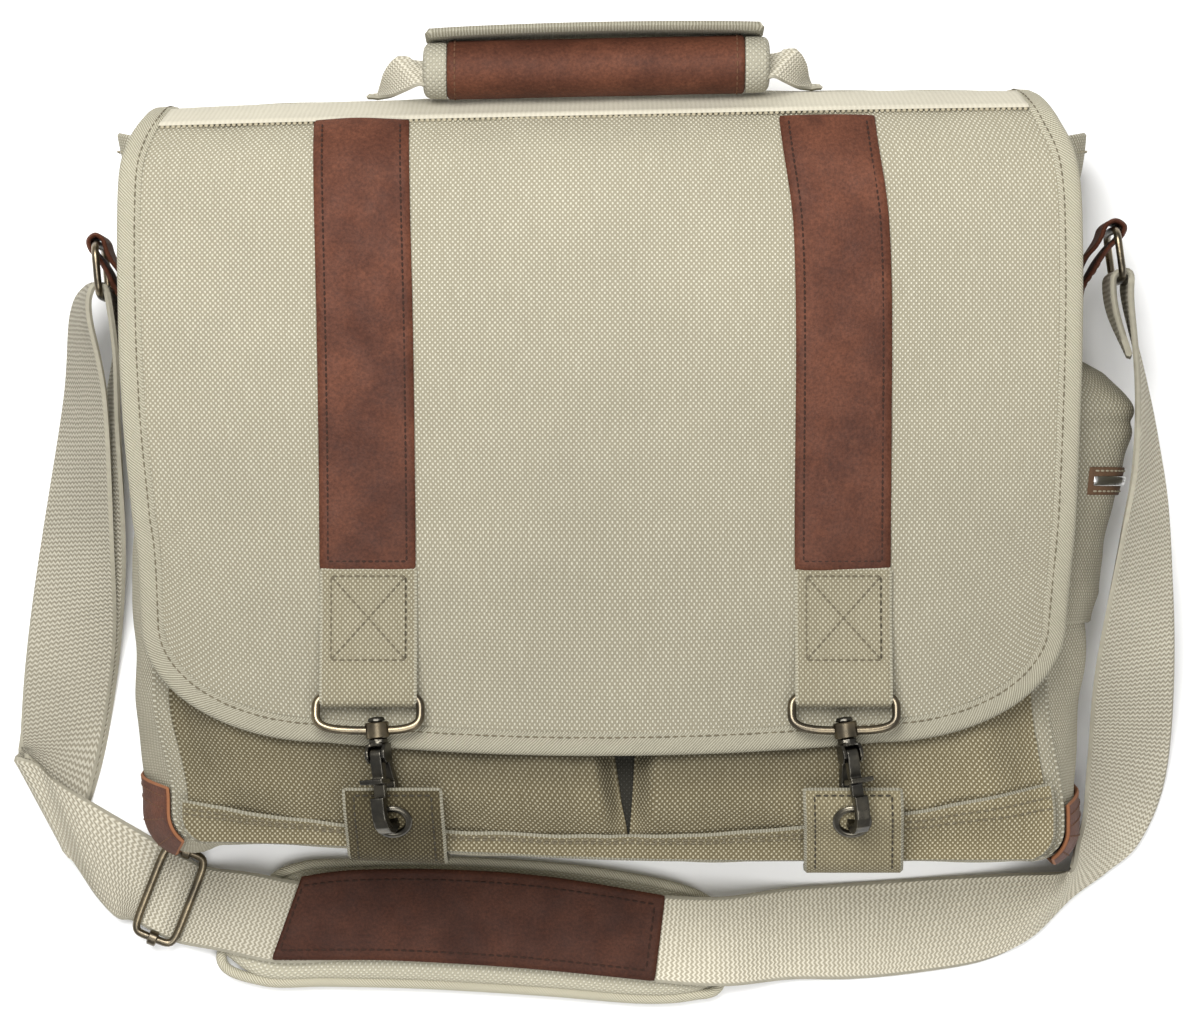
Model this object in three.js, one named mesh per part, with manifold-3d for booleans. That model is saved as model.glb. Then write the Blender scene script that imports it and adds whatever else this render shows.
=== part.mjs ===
// Canvas laptop bag with a leather-trimmed flap, lying on its back with the shoulder strap laid round it.
// Millimetres. +X is the right of the front, +Y is towards the carrying handle, +Z is up, out of the flap.
// The origin is the middle of the back panel, on the surface that it lies on.

import * as THREE from 'three';
import { mergeVertices } from 'three/addons/utils/BufferGeometryUtils.js';
import Module from 'manifold-3d';

const wasm = await Module();
wasm.setup();

// Driving sizes
const gap = 0.3; // between pieces that touch
const seat = 0.7; // between curved cloth faces that are sewn together
const canvas = 2.0; // doubled canvas wall
const webbing = 2.2; // cotton webbing
const leather = 1.8; // cowhide trim
const webbingWidth = 38; // flap straps and shoulder strap
const bodyHalfWidth = 186; // front and back panels, at the gusset seams
const bodyBottom = -154; // seam between the front and the base
const bodyCorner = 12; // radius of the lower corners
// The lower body is out of square: its left corner draws in, its right corner spreads and sinks
const lowerLean = { top: -92, height: 45, left: -0.043, right: 0.04, sink: 7.5, from: -190, to: 60 };
const backTop = 150; // top edge of the back panel
const frontTop = 137; // top edge of the front panel, under the flap
const gussetTop = 138; // top hem of the gussets at their seams
const gussetPeak = 6; // rise of that hem between the seams
const frontCrown = 5; // rise of the front panel between its side seams
const flapCornerStart = -62; // where the flap's rounded lower corners begin
const flapStraight = 0.6; // share of the flap's half width that its lower edge runs straight
const pocketBottom = -150;
const pocketTop = -30;
const pocketFullness = 11; // rise of a filled front pocket
const gripRadius = 9.6; // padded core of the carrying handle

// Depth of the front panel's inner face at its side seams, from the base to the top
const depthRows = [
  { y: -154, depth: 70 },
  { y: -120, depth: 73 },
  { y: -60, depth: 77 },
  { y: 0, depth: 83 },
  { y: 60, depth: 88 },
  { y: 110, depth: 85 },
  { y: 146, depth: 75 },
];

// How far each gusset swells out of its seam line, from the base to the top hem
const gussetRows = [
  { y: -130, left: 14, right: 7 },
  { y: -100, left: 13, right: 12 },
  { y: -40, left: 11, right: 14 },
  { y: 40, left: 10, right: 12 },
  { y: 110, left: 14, right: 15 },
  { y: 146, left: 20, right: 22 },
];

// Middle of the flap's cloth, from its lower edge over the top of the bag to the back seam
const flapRows = [
  { y: -115.6, z: 98, left: 189, right: 192, tilt: 0 },
  { y: -40, z: 98.5, left: 191, right: 195, tilt: 0 },
  { y: 30, z: 98.5, left: 197, right: 198, tilt: 0 },
  { y: 90, z: 97.5, left: 199, right: 199, tilt: 0.3 },
  { y: 126, z: 94.5, left: 198.5, right: 197, tilt: 0.7 },
  { y: 143, z: 87, left: 195, right: 190, tilt: 1 },
  { y: 153, z: 75, left: 190, right: 185, tilt: 1 },
  { y: 158.5, z: 58, left: 188, right: 182, tilt: 1 },
  { y: 160, z: 40, left: 187, right: 181, tilt: 1 },
  { y: 159.5, z: 20, left: 186, right: 181, tilt: 0.6 },
  { y: 156.5, z: 6, left: 185, right: 181, tilt: 0.2 },
  { y: 151.5, z: 1.2, left: 184, right: 181, tilt: 0 },
];
const flapTilt = 0.021; // the top of the bag leans up to the right
const flapDroop = 5; // fall of the flap's sides past the body

const bag = new THREE.Group();
const point = (x, y, z) => new THREE.Vector3(x, y, z);
const mix = THREE.MathUtils.lerp;
const clamp = THREE.MathUtils.clamp;
const ease = (value) => THREE.MathUtils.smoothstep(value, 0, 1);

// Finishes
const finishes = {
  canvas: { color: 0xc9bf9f, roughness: 0.9, metalness: 0 },
  webbing: { color: 0xc8bda6, roughness: 0.92, metalness: 0 },
  twill: { color: 0xb3a68b, roughness: 0.9, metalness: 0 },
  leather: { color: 0x6b3a2a, roughness: 0.6, metalness: 0 },
  brass: { color: 0x6e624c, roughness: 0.35, metalness: 1 },
  zipTape: { color: 0x6a503a, roughness: 0.85, metalness: 0 },
  zipTeeth: { color: 0xb8b8b8, roughness: 0.3, metalness: 1 },
};

function addPiece(name, geometry, finish, parent = bag) {
  const mesh = new THREE.Mesh(geometry, new THREE.MeshStandardMaterial(finishes[finish]));
  mesh.name = name;
  parent.add(mesh);
  return mesh;
}

// Value of a table's column at a place between its rows, on a smooth curve through them.
function rowAt(rows, column, place) {
  const last = rows.length - 1;
  const index = clamp(Math.floor(place), 0, last - 1);
  const t = place - index;
  const value = (k) => rows[clamp(k, 0, last)][column];
  const [a, b, c, d] = [value(index - 1), value(index), value(index + 1), value(index + 2)];
  const square = 2 * a - 5 * b + 4 * c - d;
  const cube = 3 * b - a - 3 * c + d;
  return 0.5 * (2 * b + (c - a) * t + square * t * t + cube * t ** 3);
}

// The same at a height y, for tables whose rows climb in y.
function heightAt(rows, column, y) {
  let index = 0;
  while (index < rows.length - 2 && y > rows[index + 1].y) {
    index += 1;
  }
  const share = (y - rows[index].y) / (rows[index + 1].y - rows[index].y);
  return rowAt(rows, column, index + clamp(share, 0, 1));
}

// Closed geometry from points and triangles, with its faces turned out.
function solid(points, triangles) {
  let volume = 0;
  for (let k = 0; k < triangles.length; k += 3) {
    const [a, b, c] = [points[triangles[k]], points[triangles[k + 1]], points[triangles[k + 2]]];
    volume += a.dot(b.clone().cross(c));
  }
  const faces = volume < 0 ? triangles.slice().reverse() : triangles;
  const geometry = new THREE.BufferGeometry();
  geometry.setFromPoints(points);
  geometry.setIndex(faces);
  geometry.computeVertexNormals();
  return geometry;
}

// A wall between two faces, each a function of u and v from 0 to 1.
function wall(uSteps, vSteps, outer, inner) {
  const points = [];
  const triangles = [];
  const row = vSteps + 1;
  const layer = (uSteps + 1) * row;
  const quad = (a, b, c, d) => triangles.push(a, b, c, a, c, d);
  for (const face of [outer, inner]) {
    for (let i = 0; i <= uSteps; i += 1) {
      for (let j = 0; j <= vSteps; j += 1) {
        points.push(face(i / uSteps, j / vSteps));
      }
    }
  }
  for (let i = 0; i < uSteps; i += 1) {
    for (let j = 0; j < vSteps; j += 1) {
      const a = i * row + j;
      const b = a + row;
      quad(a, b, b + 1, a + 1);
      quad(layer + a, layer + a + 1, layer + b + 1, layer + b);
    }
    const near = i * row;
    const far = near + vSteps;
    quad(near, layer + near, layer + near + row, near + row);
    quad(far, far + row, layer + far + row, layer + far);
  }
  for (let j = 0; j < vSteps; j += 1) {
    const last = uSteps * row + j;
    quad(j, j + 1, layer + j + 1, layer + j);
    quad(last + 1, last, layer + last, layer + last + 1);
  }
  return solid(points, triangles);
}

function normalAt(surface, u, v) {
  const step = 0.004;
  const [u0, u1] = [Math.max(u - step, 0), Math.min(u + step, 1)];
  const [v0, v1] = [Math.max(v - step, 0), Math.min(v + step, 1)];
  const along = surface(u1, v).sub(surface(u0, v));
  const across = surface(u, v1).sub(surface(u, v0));
  return along.cross(across).normalize();
}

// A sheet of cloth: a surface given a thickness from low to high along its normal.
function sheet(surface, uSteps, vSteps, low, high, normal = (u, v) => normalAt(surface, u, v)) {
  const offset = (distance) => (u, v) => surface(u, v).addScaledVector(normal(u, v), distance);
  return wall(uSteps, vSteps, offset(high), offset(low));
}

// A closed skin over rings of points, capped at both ends.
function loft(rings) {
  const sides = rings[0].length;
  const points = rings.flat();
  const triangles = [];
  for (let i = 0; i < rings.length - 1; i += 1) {
    for (let j = 0; j < sides; j += 1) {
      const a = i * sides + j;
      const b = i * sides + ((j + 1) % sides);
      triangles.push(a, b, b + sides, a, b + sides, a + sides);
    }
  }
  for (const [first, turn] of [[0, 1], [(rings.length - 1) * sides, -1]]) {
    const middle = points.length;
    const centre = point(0, 0, 0);
    for (let j = 0; j < sides; j += 1) {
      centre.addScaledVector(points[first + j], 1 / sides);
    }
    points.push(centre);
    for (let j = 0; j < sides; j += 1) {
      const a = first + j;
      const b = first + ((j + 1) % sides);
      triangles.push(...(turn > 0 ? [middle, b, a] : [middle, a, b]));
    }
  }
  return solid(points, triangles);
}

function toManifold(geometry) {
  const bare = geometry.clone();
  bare.deleteAttribute('normal');
  bare.deleteAttribute('uv');
  const merged = mergeVertices(bare, 1e-4);
  return new wasm.Manifold(new wasm.Mesh({
    numProp: 3,
    vertProperties: new Float32Array(merged.attributes.position.array),
    triVerts: new Uint32Array(merged.index.array),
  }));
}

function fromManifold(body) {
  const mesh = body.getMesh();
  const geometry = new THREE.BufferGeometry();
  geometry.setAttribute('position', new THREE.BufferAttribute(new Float32Array(mesh.vertProperties), 3));
  geometry.setIndex(new THREE.BufferAttribute(new Uint32Array(mesh.triVerts), 1));
  geometry.computeVertexNormals();
  return geometry;
}

const join = (first, ...others) => fromManifold(
  others.reduce((body, other) => body.add(toManifold(other)), toManifold(first)),
);
const cut = (first, ...others) => fromManifold(
  others.reduce((body, other) => body.subtract(toManifold(other)), toManifold(first)),
);

// Body panels
const depthAt = (y) => heightAt(depthRows, 'depth', y);
const frontAt = (x, y) => depthAt(y) + frontCrown * (1 - (x / bodyHalfWidth) ** 2);

function seamHalf(y) {
  const rise = y - bodyBottom;
  if (rise >= bodyCorner) {
    return bodyHalfWidth;
  }
  return bodyHalfWidth - bodyCorner + Math.sqrt(bodyCorner ** 2 - (bodyCorner - rise) ** 2);
}

const sinkAt = (x) => lowerLean.sink * ease((x - lowerLean.from) / (lowerLean.to - lowerLean.from));

function leaned(x, y, z) {
  const share = ease((lowerLean.top - y) / lowerLean.height);
  const spread = x < 0 ? lowerLean.left : lowerLean.right;
  return point(x * (1 + spread * share), y - sinkAt(x) * share, z);
}

function panel(top, uSteps, vSteps, outerAt, innerAt) {
  const face = (zAt) => (u, v) => {
    const y = mix(bodyBottom, top, v ** 1.25);
    const x = (2 * u - 1) * seamHalf(y);
    return leaned(x, y, zAt(x, y));
  };
  return wall(uSteps, vSteps, face(outerAt), face(innerAt));
}

addPiece('back_panel', panel(backTop, 4, 9, () => canvas, () => 0), 'canvas');
addPiece('front_panel', panel(frontTop, 8, 12, (x, y) => frontAt(x, y) + canvas, frontAt), 'canvas');

// The gussets and the base follow one line: down a side, round a lower corner and along the bottom.
const wallHalf = bodyHalfWidth - canvas / 2;
const wallCorner = bodyCorner - canvas / 2;
const cornerY = bodyBottom + bodyCorner;
const cornerX = bodyHalfWidth - bodyCorner;
const sideRun = gussetTop - cornerY;
const cornerRun = wallCorner * Math.PI / 2;
const baseBulge = 2.5;
const bulgeFade = 25; // run past a corner's start over which the gusset's swell becomes the base's

// Point of that line's wall on one side, at a run and a share of the depth, pushed out by a distance.
function wallPoint(side, run, share, distance) {
  let [x, y] = [wallHalf, gussetTop - run];
  let [outX, outY] = [1, 0];
  const bulgeSide = side < 0 ? 'left' : 'right';
  let bulge = heightAt(gussetRows, bulgeSide, Math.max(y, cornerY));
  if (run > sideRun) {
    const turn = Math.min((run - sideRun) / wallCorner, Math.PI / 2);
    const past = Math.max(run - sideRun - cornerRun, 0);
    [outX, outY] = [Math.cos(turn), -Math.sin(turn)];
    x = cornerX + wallCorner * outX - past;
    y = cornerY + wallCorner * outY;
    bulge = mix(bulge, baseBulge, ease((run - sideRun) / bulgeFade));
  }
  const out = bulge * Math.sin(Math.PI * share) + distance;
  const z = mix(canvas + gap, frontAt(x, y) - seat, share);
  return leaned(side * (x + outX * out), y + outY * out, z);
}

const half = canvas / 2;
for (const [name, side] of [['left_gusset', -1], ['right_gusset', 1]]) {
  const face = (distance) => (u, v) => {
    const top = -gussetPeak * Math.sin(Math.PI * u);
    return wallPoint(side, mix(top, sideRun - gap, v), u, distance);
  };
  addPiece(name, wall(4, 10, face(half), face(-half)), 'canvas');
}

const baseRun = cornerRun + cornerX;
const basePoint = (along, share, distance) => {
  const side = along < 0.5 ? -1 : 1;
  const away = Math.abs(2 * along - 1);
  return wallPoint(side, sideRun + baseRun * (1 - away), share, distance);
};
const baseFace = (distance) => (u, v) => basePoint(v, u, distance);
addPiece('base_panel', wall(4, 18, baseFace(half), baseFace(-half)), 'canvas');

const cornerTop = { inner: 19, slant: -9 }; // leather edge above the corner, lower towards the front
const cornerReach = -7; // the leather ends before the straight bottom
for (const [name, side] of [['left_corner_leather', -1], ['right_corner_leather', 1]]) {
  const face = (distance) => (u, v) => {
    const start = sideRun - cornerTop.inner - cornerTop.slant * u;
    return wallPoint(side, mix(start, sideRun + cornerRun + cornerReach, v), mix(0.02, 0.985, u), distance);
  };
  addPiece(name, wall(4, 8, face(half + 2 * seat + leather), face(half + 2 * seat)), 'leather');
}

// Front pockets
const pockets = {
  left_pocket: { outerX: -179, seamX: 11.2, lean: -0.17 },
  right_pocket: { outerX: 179, seamX: 12.2, lean: 0.08 },
};

const pocketInnerX = (pocket, y) => pocket.seamX + pocket.lean * (y - pocketBottom);

// Rise of the pocket cloth over the front panel: nothing at its sewn edges, full at its open top.
function pocketRise(x, y) {
  const pocket = x < pockets.right_pocket.seamX ? pockets.left_pocket : pockets.right_pocket;
  const fromOuter = Math.abs(x - pocket.outerX) / 26;
  const inner = pocketInnerX(pocket, y);
  const fromInner = Math.sign(pocket.outerX) * (x - inner) / 9;
  const fromBottom = (y - pocketBottom) / 24;
  const slack = 1 - 0.45 * ease((y + 100) / 70);
  return pocketFullness * slack * ease(fromOuter) * ease(fromInner) * ease(fromBottom);
}

const pocketFloor = (x, y) => frontAt(x, y) + canvas + gap;
for (const [name, pocket] of Object.entries(pockets)) {
  const face = (thickness) => (u, v) => {
    const y = mix(pocketBottom, pocketTop, v ** 1.8);
    const spread = 0.5 - 0.5 * Math.cos(Math.PI * u);
    const x = mix(pocket.outerX, pocketInnerX(pocket, y), spread);
    return leaned(x, y, pocketFloor(x, y) + pocketRise(x, y) + thickness);
  };
  addPiece(name, wall(12, 7, face(canvas), face(0)), 'canvas');
}

// Turned-up edge of the base, sewn over the pockets' bottoms
const bandRows = [
  { x: -182, top: -137 },
  { x: -110, top: -145 },
  { x: 12, top: -144.5 },
  { x: 90, top: -138.5 },
  { x: 182, top: -124 },
];
const bandLow = bodyBottom + 0.6;
const bandSeat = 2.1; // over the pockets' gathered bottoms
const bandFace = (thickness) => (u, v) => {
  const place = u * (bandRows.length - 1);
  const y = mix(bandLow, rowAt(bandRows, 'top', place), v);
  const x = rowAt(bandRows, 'x', place) * seamHalf(y) / bodyHalfWidth;
  return leaned(x, y, pocketFloor(x, y) + pocketRise(x, y) + canvas + bandSeat + thickness);
};
addPiece('base_band', wall(24, 2, bandFace(canvas), bandFace(0)), 'canvas');

// Zipped pocket on the right gusset: how far its cloth stands off the gusset
const sidePocketRows = [
  { y: -62, rise: 0.4 },
  { y: -50, rise: 7 },
  { y: -20, rise: 14 },
  { y: 6, rise: 21 },
  { y: 28, rise: 26 },
  { y: 42, rise: 14 },
  { y: 50, rise: 0.4 },
];
const sideShare = { back: 0.1, front: 0.9 };

// Point over the side pocket at a height and a share of its width, lifted off the gusset's cloth.
function sidePocketPoint(y, across, lift) {
  const fullness = Math.sin(Math.PI * across) ** 0.8;
  const rise = heightAt(sidePocketRows, 'rise', y) * fullness;
  return wallPoint(1, gussetTop - y, mix(sideShare.back, sideShare.front, across), half + gap + rise + lift);
}

function sidePatch(lowY, highY, from, to, steps, low, high) {
  const face = (lift) => (u, v) => sidePocketPoint(mix(lowY, highY, v), mix(from, to, u), lift);
  return wall(steps[0], steps[1], face(high), face(low));
}

const zipY = -3;
const zipLift = canvas + gap;
addPiece('side_pocket', sidePatch(-62, 50, 0, 1, [8, 10], 0, canvas), 'canvas');
const tape = sidePatch(zipY - 5.5, zipY + 5.5, 0.12, 0.88, [8, 2], zipLift, zipLift + 0.8);
addPiece('side_zip_tape', tape, 'zipTape');
const teethLift = zipLift + 0.8 + gap;
const teeth = sidePatch(zipY - 2, zipY + 2, 0.22, 0.86, [8, 1], teethLift, teethLift + 1);
addPiece('side_zip_teeth', teeth, 'zipTeeth');
const slider = sidePatch(zipY - 3.5, zipY + 3.5, 0.13, 0.2, [2, 2], teethLift, teethLift + 3);
addPiece('side_zip_slider', slider, 'brass');

// Flap
const lastFlapRow = flapRows.length - 1;
const flapBottom = flapRows[0].y;
const flapAcross = 14; // facets across the flap
const flapPlaces = [0, 1, 2]; // its sections: whole rows on the flat front, half rows from there over the top
for (let place = 3; place <= lastFlapRow; place += 0.5) {
  flapPlaces.push(place);
}
const flapScaled = -20; // the flap's lower edge curves below this height

// Lower edge of the flap: nearly straight, with elliptical corners.
function flapEdgeY(aside) {
  const straight = flapBottom + 5.5 * (aside / flapStraight) ** 2;
  if (aside <= flapStraight) {
    return straight;
  }
  const turn = (aside - flapStraight) / (1 - flapStraight);
  const cornerBottom = flapBottom + 5.5;
  return flapCornerStart - (flapCornerStart - cornerBottom) * Math.sqrt(Math.max(1 - turn * turn, 0));
}

// Middle of the flap's cloth: u from its left to its right edge, v from its lower edge to the back seam.
function flapPoint(u, v) {
  const place = v * lastFlapRow;
  const across = Math.sin((u - 0.5) * Math.PI);
  const aside = Math.abs(across);
  const x = across * rowAt(flapRows, across < 0 ? 'left' : 'right', place);
  const tilt = rowAt(flapRows, 'tilt', place);
  let y = rowAt(flapRows, 'y', place);
  let z = rowAt(flapRows, 'z', place);
  const front = ease((z - 55) / 35);
  if (y < flapScaled && front > 0) {
    y = flapScaled + (y - flapScaled) * (flapEdgeY(aside) - flapScaled) / (flapBottom - flapScaled);
  }
  z -= flapDroop * aside ** 3 * front;
  y += flapTilt * x * tilt - 3 * aside ** 4 * (1 - front) * tilt;
  return point(x, y, z);
}

// Outward direction of the flap: on its flat front, where only the droop bends it, and over the top.
function flapNormal(u, v) {
  if (v * lastFlapRow > 2) {
    return normalAt(flapPoint, clamp(u, 0.01, 0.99), v);
  }
  const across = Math.sin((u - 0.5) * Math.PI);
  const slope = 3 * flapDroop * across * Math.abs(across) / flapRows[0].left;
  return point(slope, 0, 1).normalize();
}

// Point on the front of the flap over a given x and y, lifted off the middle of its cloth.
function onFlap(x, y, lift) {
  let [low, high] = [0, 6.4 / lastFlapRow];
  let u = 0.5;
  for (let k = 0; k < 26; k += 1) {
    const v = (low + high) / 2;
    const edge = rowAt(flapRows, x < 0 ? 'left' : 'right', v * lastFlapRow);
    u = 0.5 + Math.asin(clamp(x / edge, -1, 1)) / Math.PI;
    if (flapPoint(u, v).y < y) {
      low = v;
    } else {
      high = v;
    }
  }
  return flapPoint(u, low).addScaledVector(flapNormal(u, low), lift);
}

const flapFace = (distance) => (u, v) => {
  const place = flapPlaces[Math.round(v * (flapPlaces.length - 1))] / lastFlapRow;
  return flapPoint(u, place).addScaledVector(flapNormal(u, place), distance);
};
addPiece('flap', wall(flapAcross, flapPlaces.length - 1, flapFace(half), flapFace(-half)), 'canvas');

// Binding folded over the flap's edge, from the top on the left round the lower edge to the top on the right
const binding = { width: 8, cloth: 1, topRow: 8 };
const bindingSide = flapPlaces.filter((place) => place <= binding.topRow).map((place) => place / lastFlapRow);
const bindingPath = bindingSide.toReversed().map((v) => [0, v]);
for (let k = 1; k < flapAcross; k += 1) {
  bindingPath.push([k / flapAcross, 0]);
}
bindingPath.push(...bindingSide.map((v) => [1, v]));

const bindingMiddle = bindingPath.map(([u, v]) => flapPoint(u, v));
const bindingNormal = bindingPath.map(([u, v]) => flapNormal(u, v));
const bindingFace = (spare, width) => (u, v) => {
  const k = Math.round(u * (bindingPath.length - 1));
  const before = bindingMiddle[Math.max(k - 1, 0)];
  const after = bindingMiddle[Math.min(k + 1, bindingPath.length - 1)];
  const normal = bindingNormal[k];
  const inward = normal.clone().cross(after.clone().sub(before)).normalize();
  const corner = Math.round(v * 3);
  const reach = corner === 0 || corner === 3 ? width : -spare;
  const lift = (corner < 2 ? 1 : -1) * (half + spare);
  return bindingMiddle[k].clone().addScaledVector(inward, reach).addScaledVector(normal, lift);
};
const bindingOuter = bindingFace(seat + binding.cloth, binding.width);
const bindingInner = bindingFace(seat, binding.width);
addPiece('flap_binding', wall(bindingPath.length - 1, 3, bindingOuter, bindingInner), 'twill');

// Ribbed webbing sewn across the flap at the top of the front
const topBand = { lowRow: 5.42, highRow: 6.4, from: 0.1, to: 0.9, cloth: 1.4 };
const topBandPoint = (u, v) => flapPoint(
  mix(topBand.from, topBand.to, u),
  mix(topBand.lowRow, topBand.highRow, v) / lastFlapRow,
);
addPiece('top_webbing', sheet(topBandPoint, 12, 3, half + gap, half + gap + topBand.cloth), 'webbing');

// Leather straps down the flap, each ending in a webbing loop that holds a swivel ring
const flapStraps = {
  left: {
    leatherRows: [{ y: -39.2, x: -96 }, { y: 60, x: -97.2 }, { y: 145.2, x: -99.2 }],
    tabX: -95.6, bossX: -91.7, hookTilt: 5.7, hookRoll: -18,
    tabTopX: -85.8, tabBottomX: -83.4, eyeletX: -85.5,
  },
  right: {
    leatherRows: [{ y: -39.2, x: 100.2 }, { y: 60, x: 100.8 }, { y: 105, x: 99.6 }, { y: 147, x: 94.4 }],
    tabX: 100.6, bossX: 101.2, hookTilt: 8, hookRoll: 15,
    tabTopX: 104.3, tabBottomX: 106, eyeletX: 104.1,
  },
};

// Side view of a webbing loop: height y and lift of the webbing's middle above the flap's face
const loopRows = [
  { y: -39.8, lift: 1.4 },
  { y: -58, lift: 1.5 },
  { y: -74, lift: 4 },
  { y: -85, lift: 7.2 },
  { y: -90.2, lift: 7.7 },
  { y: -94.2, lift: 7.2 },
  { y: -95.5, lift: 4.4 },
  { y: -94.2, lift: 1.7 },
  { y: -90.2, lift: 1.4 },
  { y: -84, lift: 1.4 },
];

for (const [side, strap] of Object.entries(flapStraps)) {
  const rows = strap.leatherRows;
  const [low, high] = [rows[0].y, rows[rows.length - 1].y];
  const leatherFace = (lift) => (u, v) => {
    const y = mix(low, high, 1 - (1 - v) ** 2);
    return onFlap(heightAt(rows, 'x', y) + (u - 0.5) * webbingWidth, y, lift);
  };
  const [under, over] = [half + seat, half + seat + leather];
  addPiece(`${side}_strap_leather`, wall(2, 12, leatherFace(over), leatherFace(under)), 'leather');

  const loopPoint = (u, v) => {
    const place = v * (loopRows.length - 1);
    const x = strap.tabX + (u - 0.5) * webbingWidth;
    const y = rowAt(loopRows, 'y', place);
    const face = onFlap(strap.tabX, Math.max(y, -90), half);
    return point(x, y, face.z + gap + rowAt(loopRows, 'lift', place));
  };
  addPiece(`${side}_strap_tab`, sheet(loopPoint, 1, 18, -webbing / 2, webbing / 2), 'webbing');
}

// Metalwork of the two closures. Each hook is drawn in its own frame: its post runs along Y,
// the hook hangs towards -Y, Z points out of the bag and X across the hook.
const hook = {
  y: -106, z: 107.5, width: 5.8, bendAlong: 33, bendOut: -1, bendInner: 6, bendOuter: 10,
  pivotAlong: 10, pivotOut: 3, ear: 1.6, leverWidth: 5, thumbWidth: 10,
};
const acrossHook = new THREE.Matrix4().makeBasis(point(0, 1, 0), point(0, 0, 1), point(1, 0, 0));

// A flat profile of (distance down the hook, distance out of the bag) corners, cut to a width about a middle.
function hookPlate(shape, width, middle = 0) {
  const plate = new THREE.ExtrudeGeometry(shape, { depth: width, bevelEnabled: false, curveSegments: 4 });
  return plate.translate(0, 0, middle - width / 2).applyMatrix4(acrossHook);
}

const hookShape = (corners) => new THREE.Shape(corners.map(([down, out]) => new THREE.Vector2(-down, out)));
const turned = (profile, sides) => (
  new THREE.LatheGeometry(profile.map(([radius, height]) => new THREE.Vector2(radius, height)), sides)
);

function hookBody() {
  const { bendAlong, bendOut, bendInner, bendOuter, pivotAlong, pivotOut } = hook;
  const tip = bendAlong - 5.8;
  const shape = hookShape([[5, -4.5], [5, 4], [6.4, 4], [6.4, -0.8], [14, -2.5], [22, bendOut - bendInner]]);
  shape.lineTo(-bendAlong, bendOut - bendInner);
  shape.absarc(-bendAlong, bendOut, bendInner, -Math.PI / 2, Math.PI / 2, true);
  shape.lineTo(-tip, bendOut + bendInner);
  shape.lineTo(-tip, bendOut + bendOuter);
  shape.lineTo(-bendAlong, bendOut + bendOuter);
  shape.absarc(-bendAlong, bendOut, bendOuter, Math.PI / 2, 1.5 * Math.PI, false);
  shape.lineTo(-22, bendOut - bendOuter);
  shape.lineTo(-12, -6);
  const earShape = hookShape([[5.5, -3], [5.5, 4], [8, 6.2], [11, 6.4], [13.4, 4], [13, -3]]);
  const earMiddle = hook.leverWidth / 2 + gap + hook.ear / 2;
  const pin = new THREE.CylinderGeometry(1, 1, 2 * earMiddle, 8).rotateZ(Math.PI / 2);
  pin.translate(0, -pivotAlong, pivotOut);
  const postProfile = [
    [0, -5.3], [4.2, -5.3], [4.2, -3.3], [2.4, -3.3], [2.4, 3.8], [4, 3.8], [3.4, 5.4], [0, 5.8],
  ];
  const post = turned(postProfile, 8);
  const ears = [-1, 1].map((side) => hookPlate(earShape, hook.ear, side * earMiddle));
  return join(hookPlate(shape, hook.width), ...ears, pin, post);
}

function hookLever() {
  const { pivotAlong, pivotOut } = hook;
  const eye = 2.8;
  const shape = hookShape([[30, 2.2], [30, 4.65], [20, 4.9]]);
  shape.absarc(-pivotAlong, pivotOut, eye, Math.PI / 2, -Math.PI / 2, true);
  const bore = new THREE.CylinderGeometry(1.35, 1.35, 2 * hook.leverWidth, 10).rotateZ(Math.PI / 2);
  bore.translate(0, -pivotAlong, pivotOut);
  const thumb = hookPlate(hookShape([[20, 3.6], [22.2, 3.6], [21.2, 13.5], [19.2, 13.5]]), hook.thumbWidth);
  return cut(join(hookPlate(shape, hook.leverWidth), thumb), bore);
}

// A round wire bent into a closed loop with rounded corners, from a function of an angle.
function wireLoop(loopAt, wire, steps = 20) {
  const points = Array.from({ length: 24 }, (_, k) => loopAt(k * Math.PI / 12));
  const curve = new THREE.CatmullRomCurve3(points, true);
  return new THREE.TubeGeometry(curve, steps, wire / 2, 5, true);
}
const squared = (value, power) => Math.sign(value) * Math.abs(value) ** (2 / power);

const radians = THREE.MathUtils.degToRad;
const swivel = { halfWidth: 21.6, height: 15.8, drop: 4, wire: 3, boss: 5, bore: 2.75 };

// Square twill tab with an eyelet, sewn into the base seam and lifted by the hook: side view of its middle
const closureRows = [
  { y: -156.1, z: 66, sunk: 1 },
  { y: -158, z: 78, sunk: 1 },
  { y: -156.5, z: 87, sunk: 0.75 },
  { y: -150, z: 94.5, sunk: 0 },
  { y: -143, z: 100.9, sunk: 0 },
  { y: -137, z: 103.3, sunk: 0 },
  { y: -131, z: 103.2, sunk: 0 },
];
const closureCloth = 2.4;
const eyeletPlace = 4 / (closureRows.length - 1); // the eyelet sits on the fifth row

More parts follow.
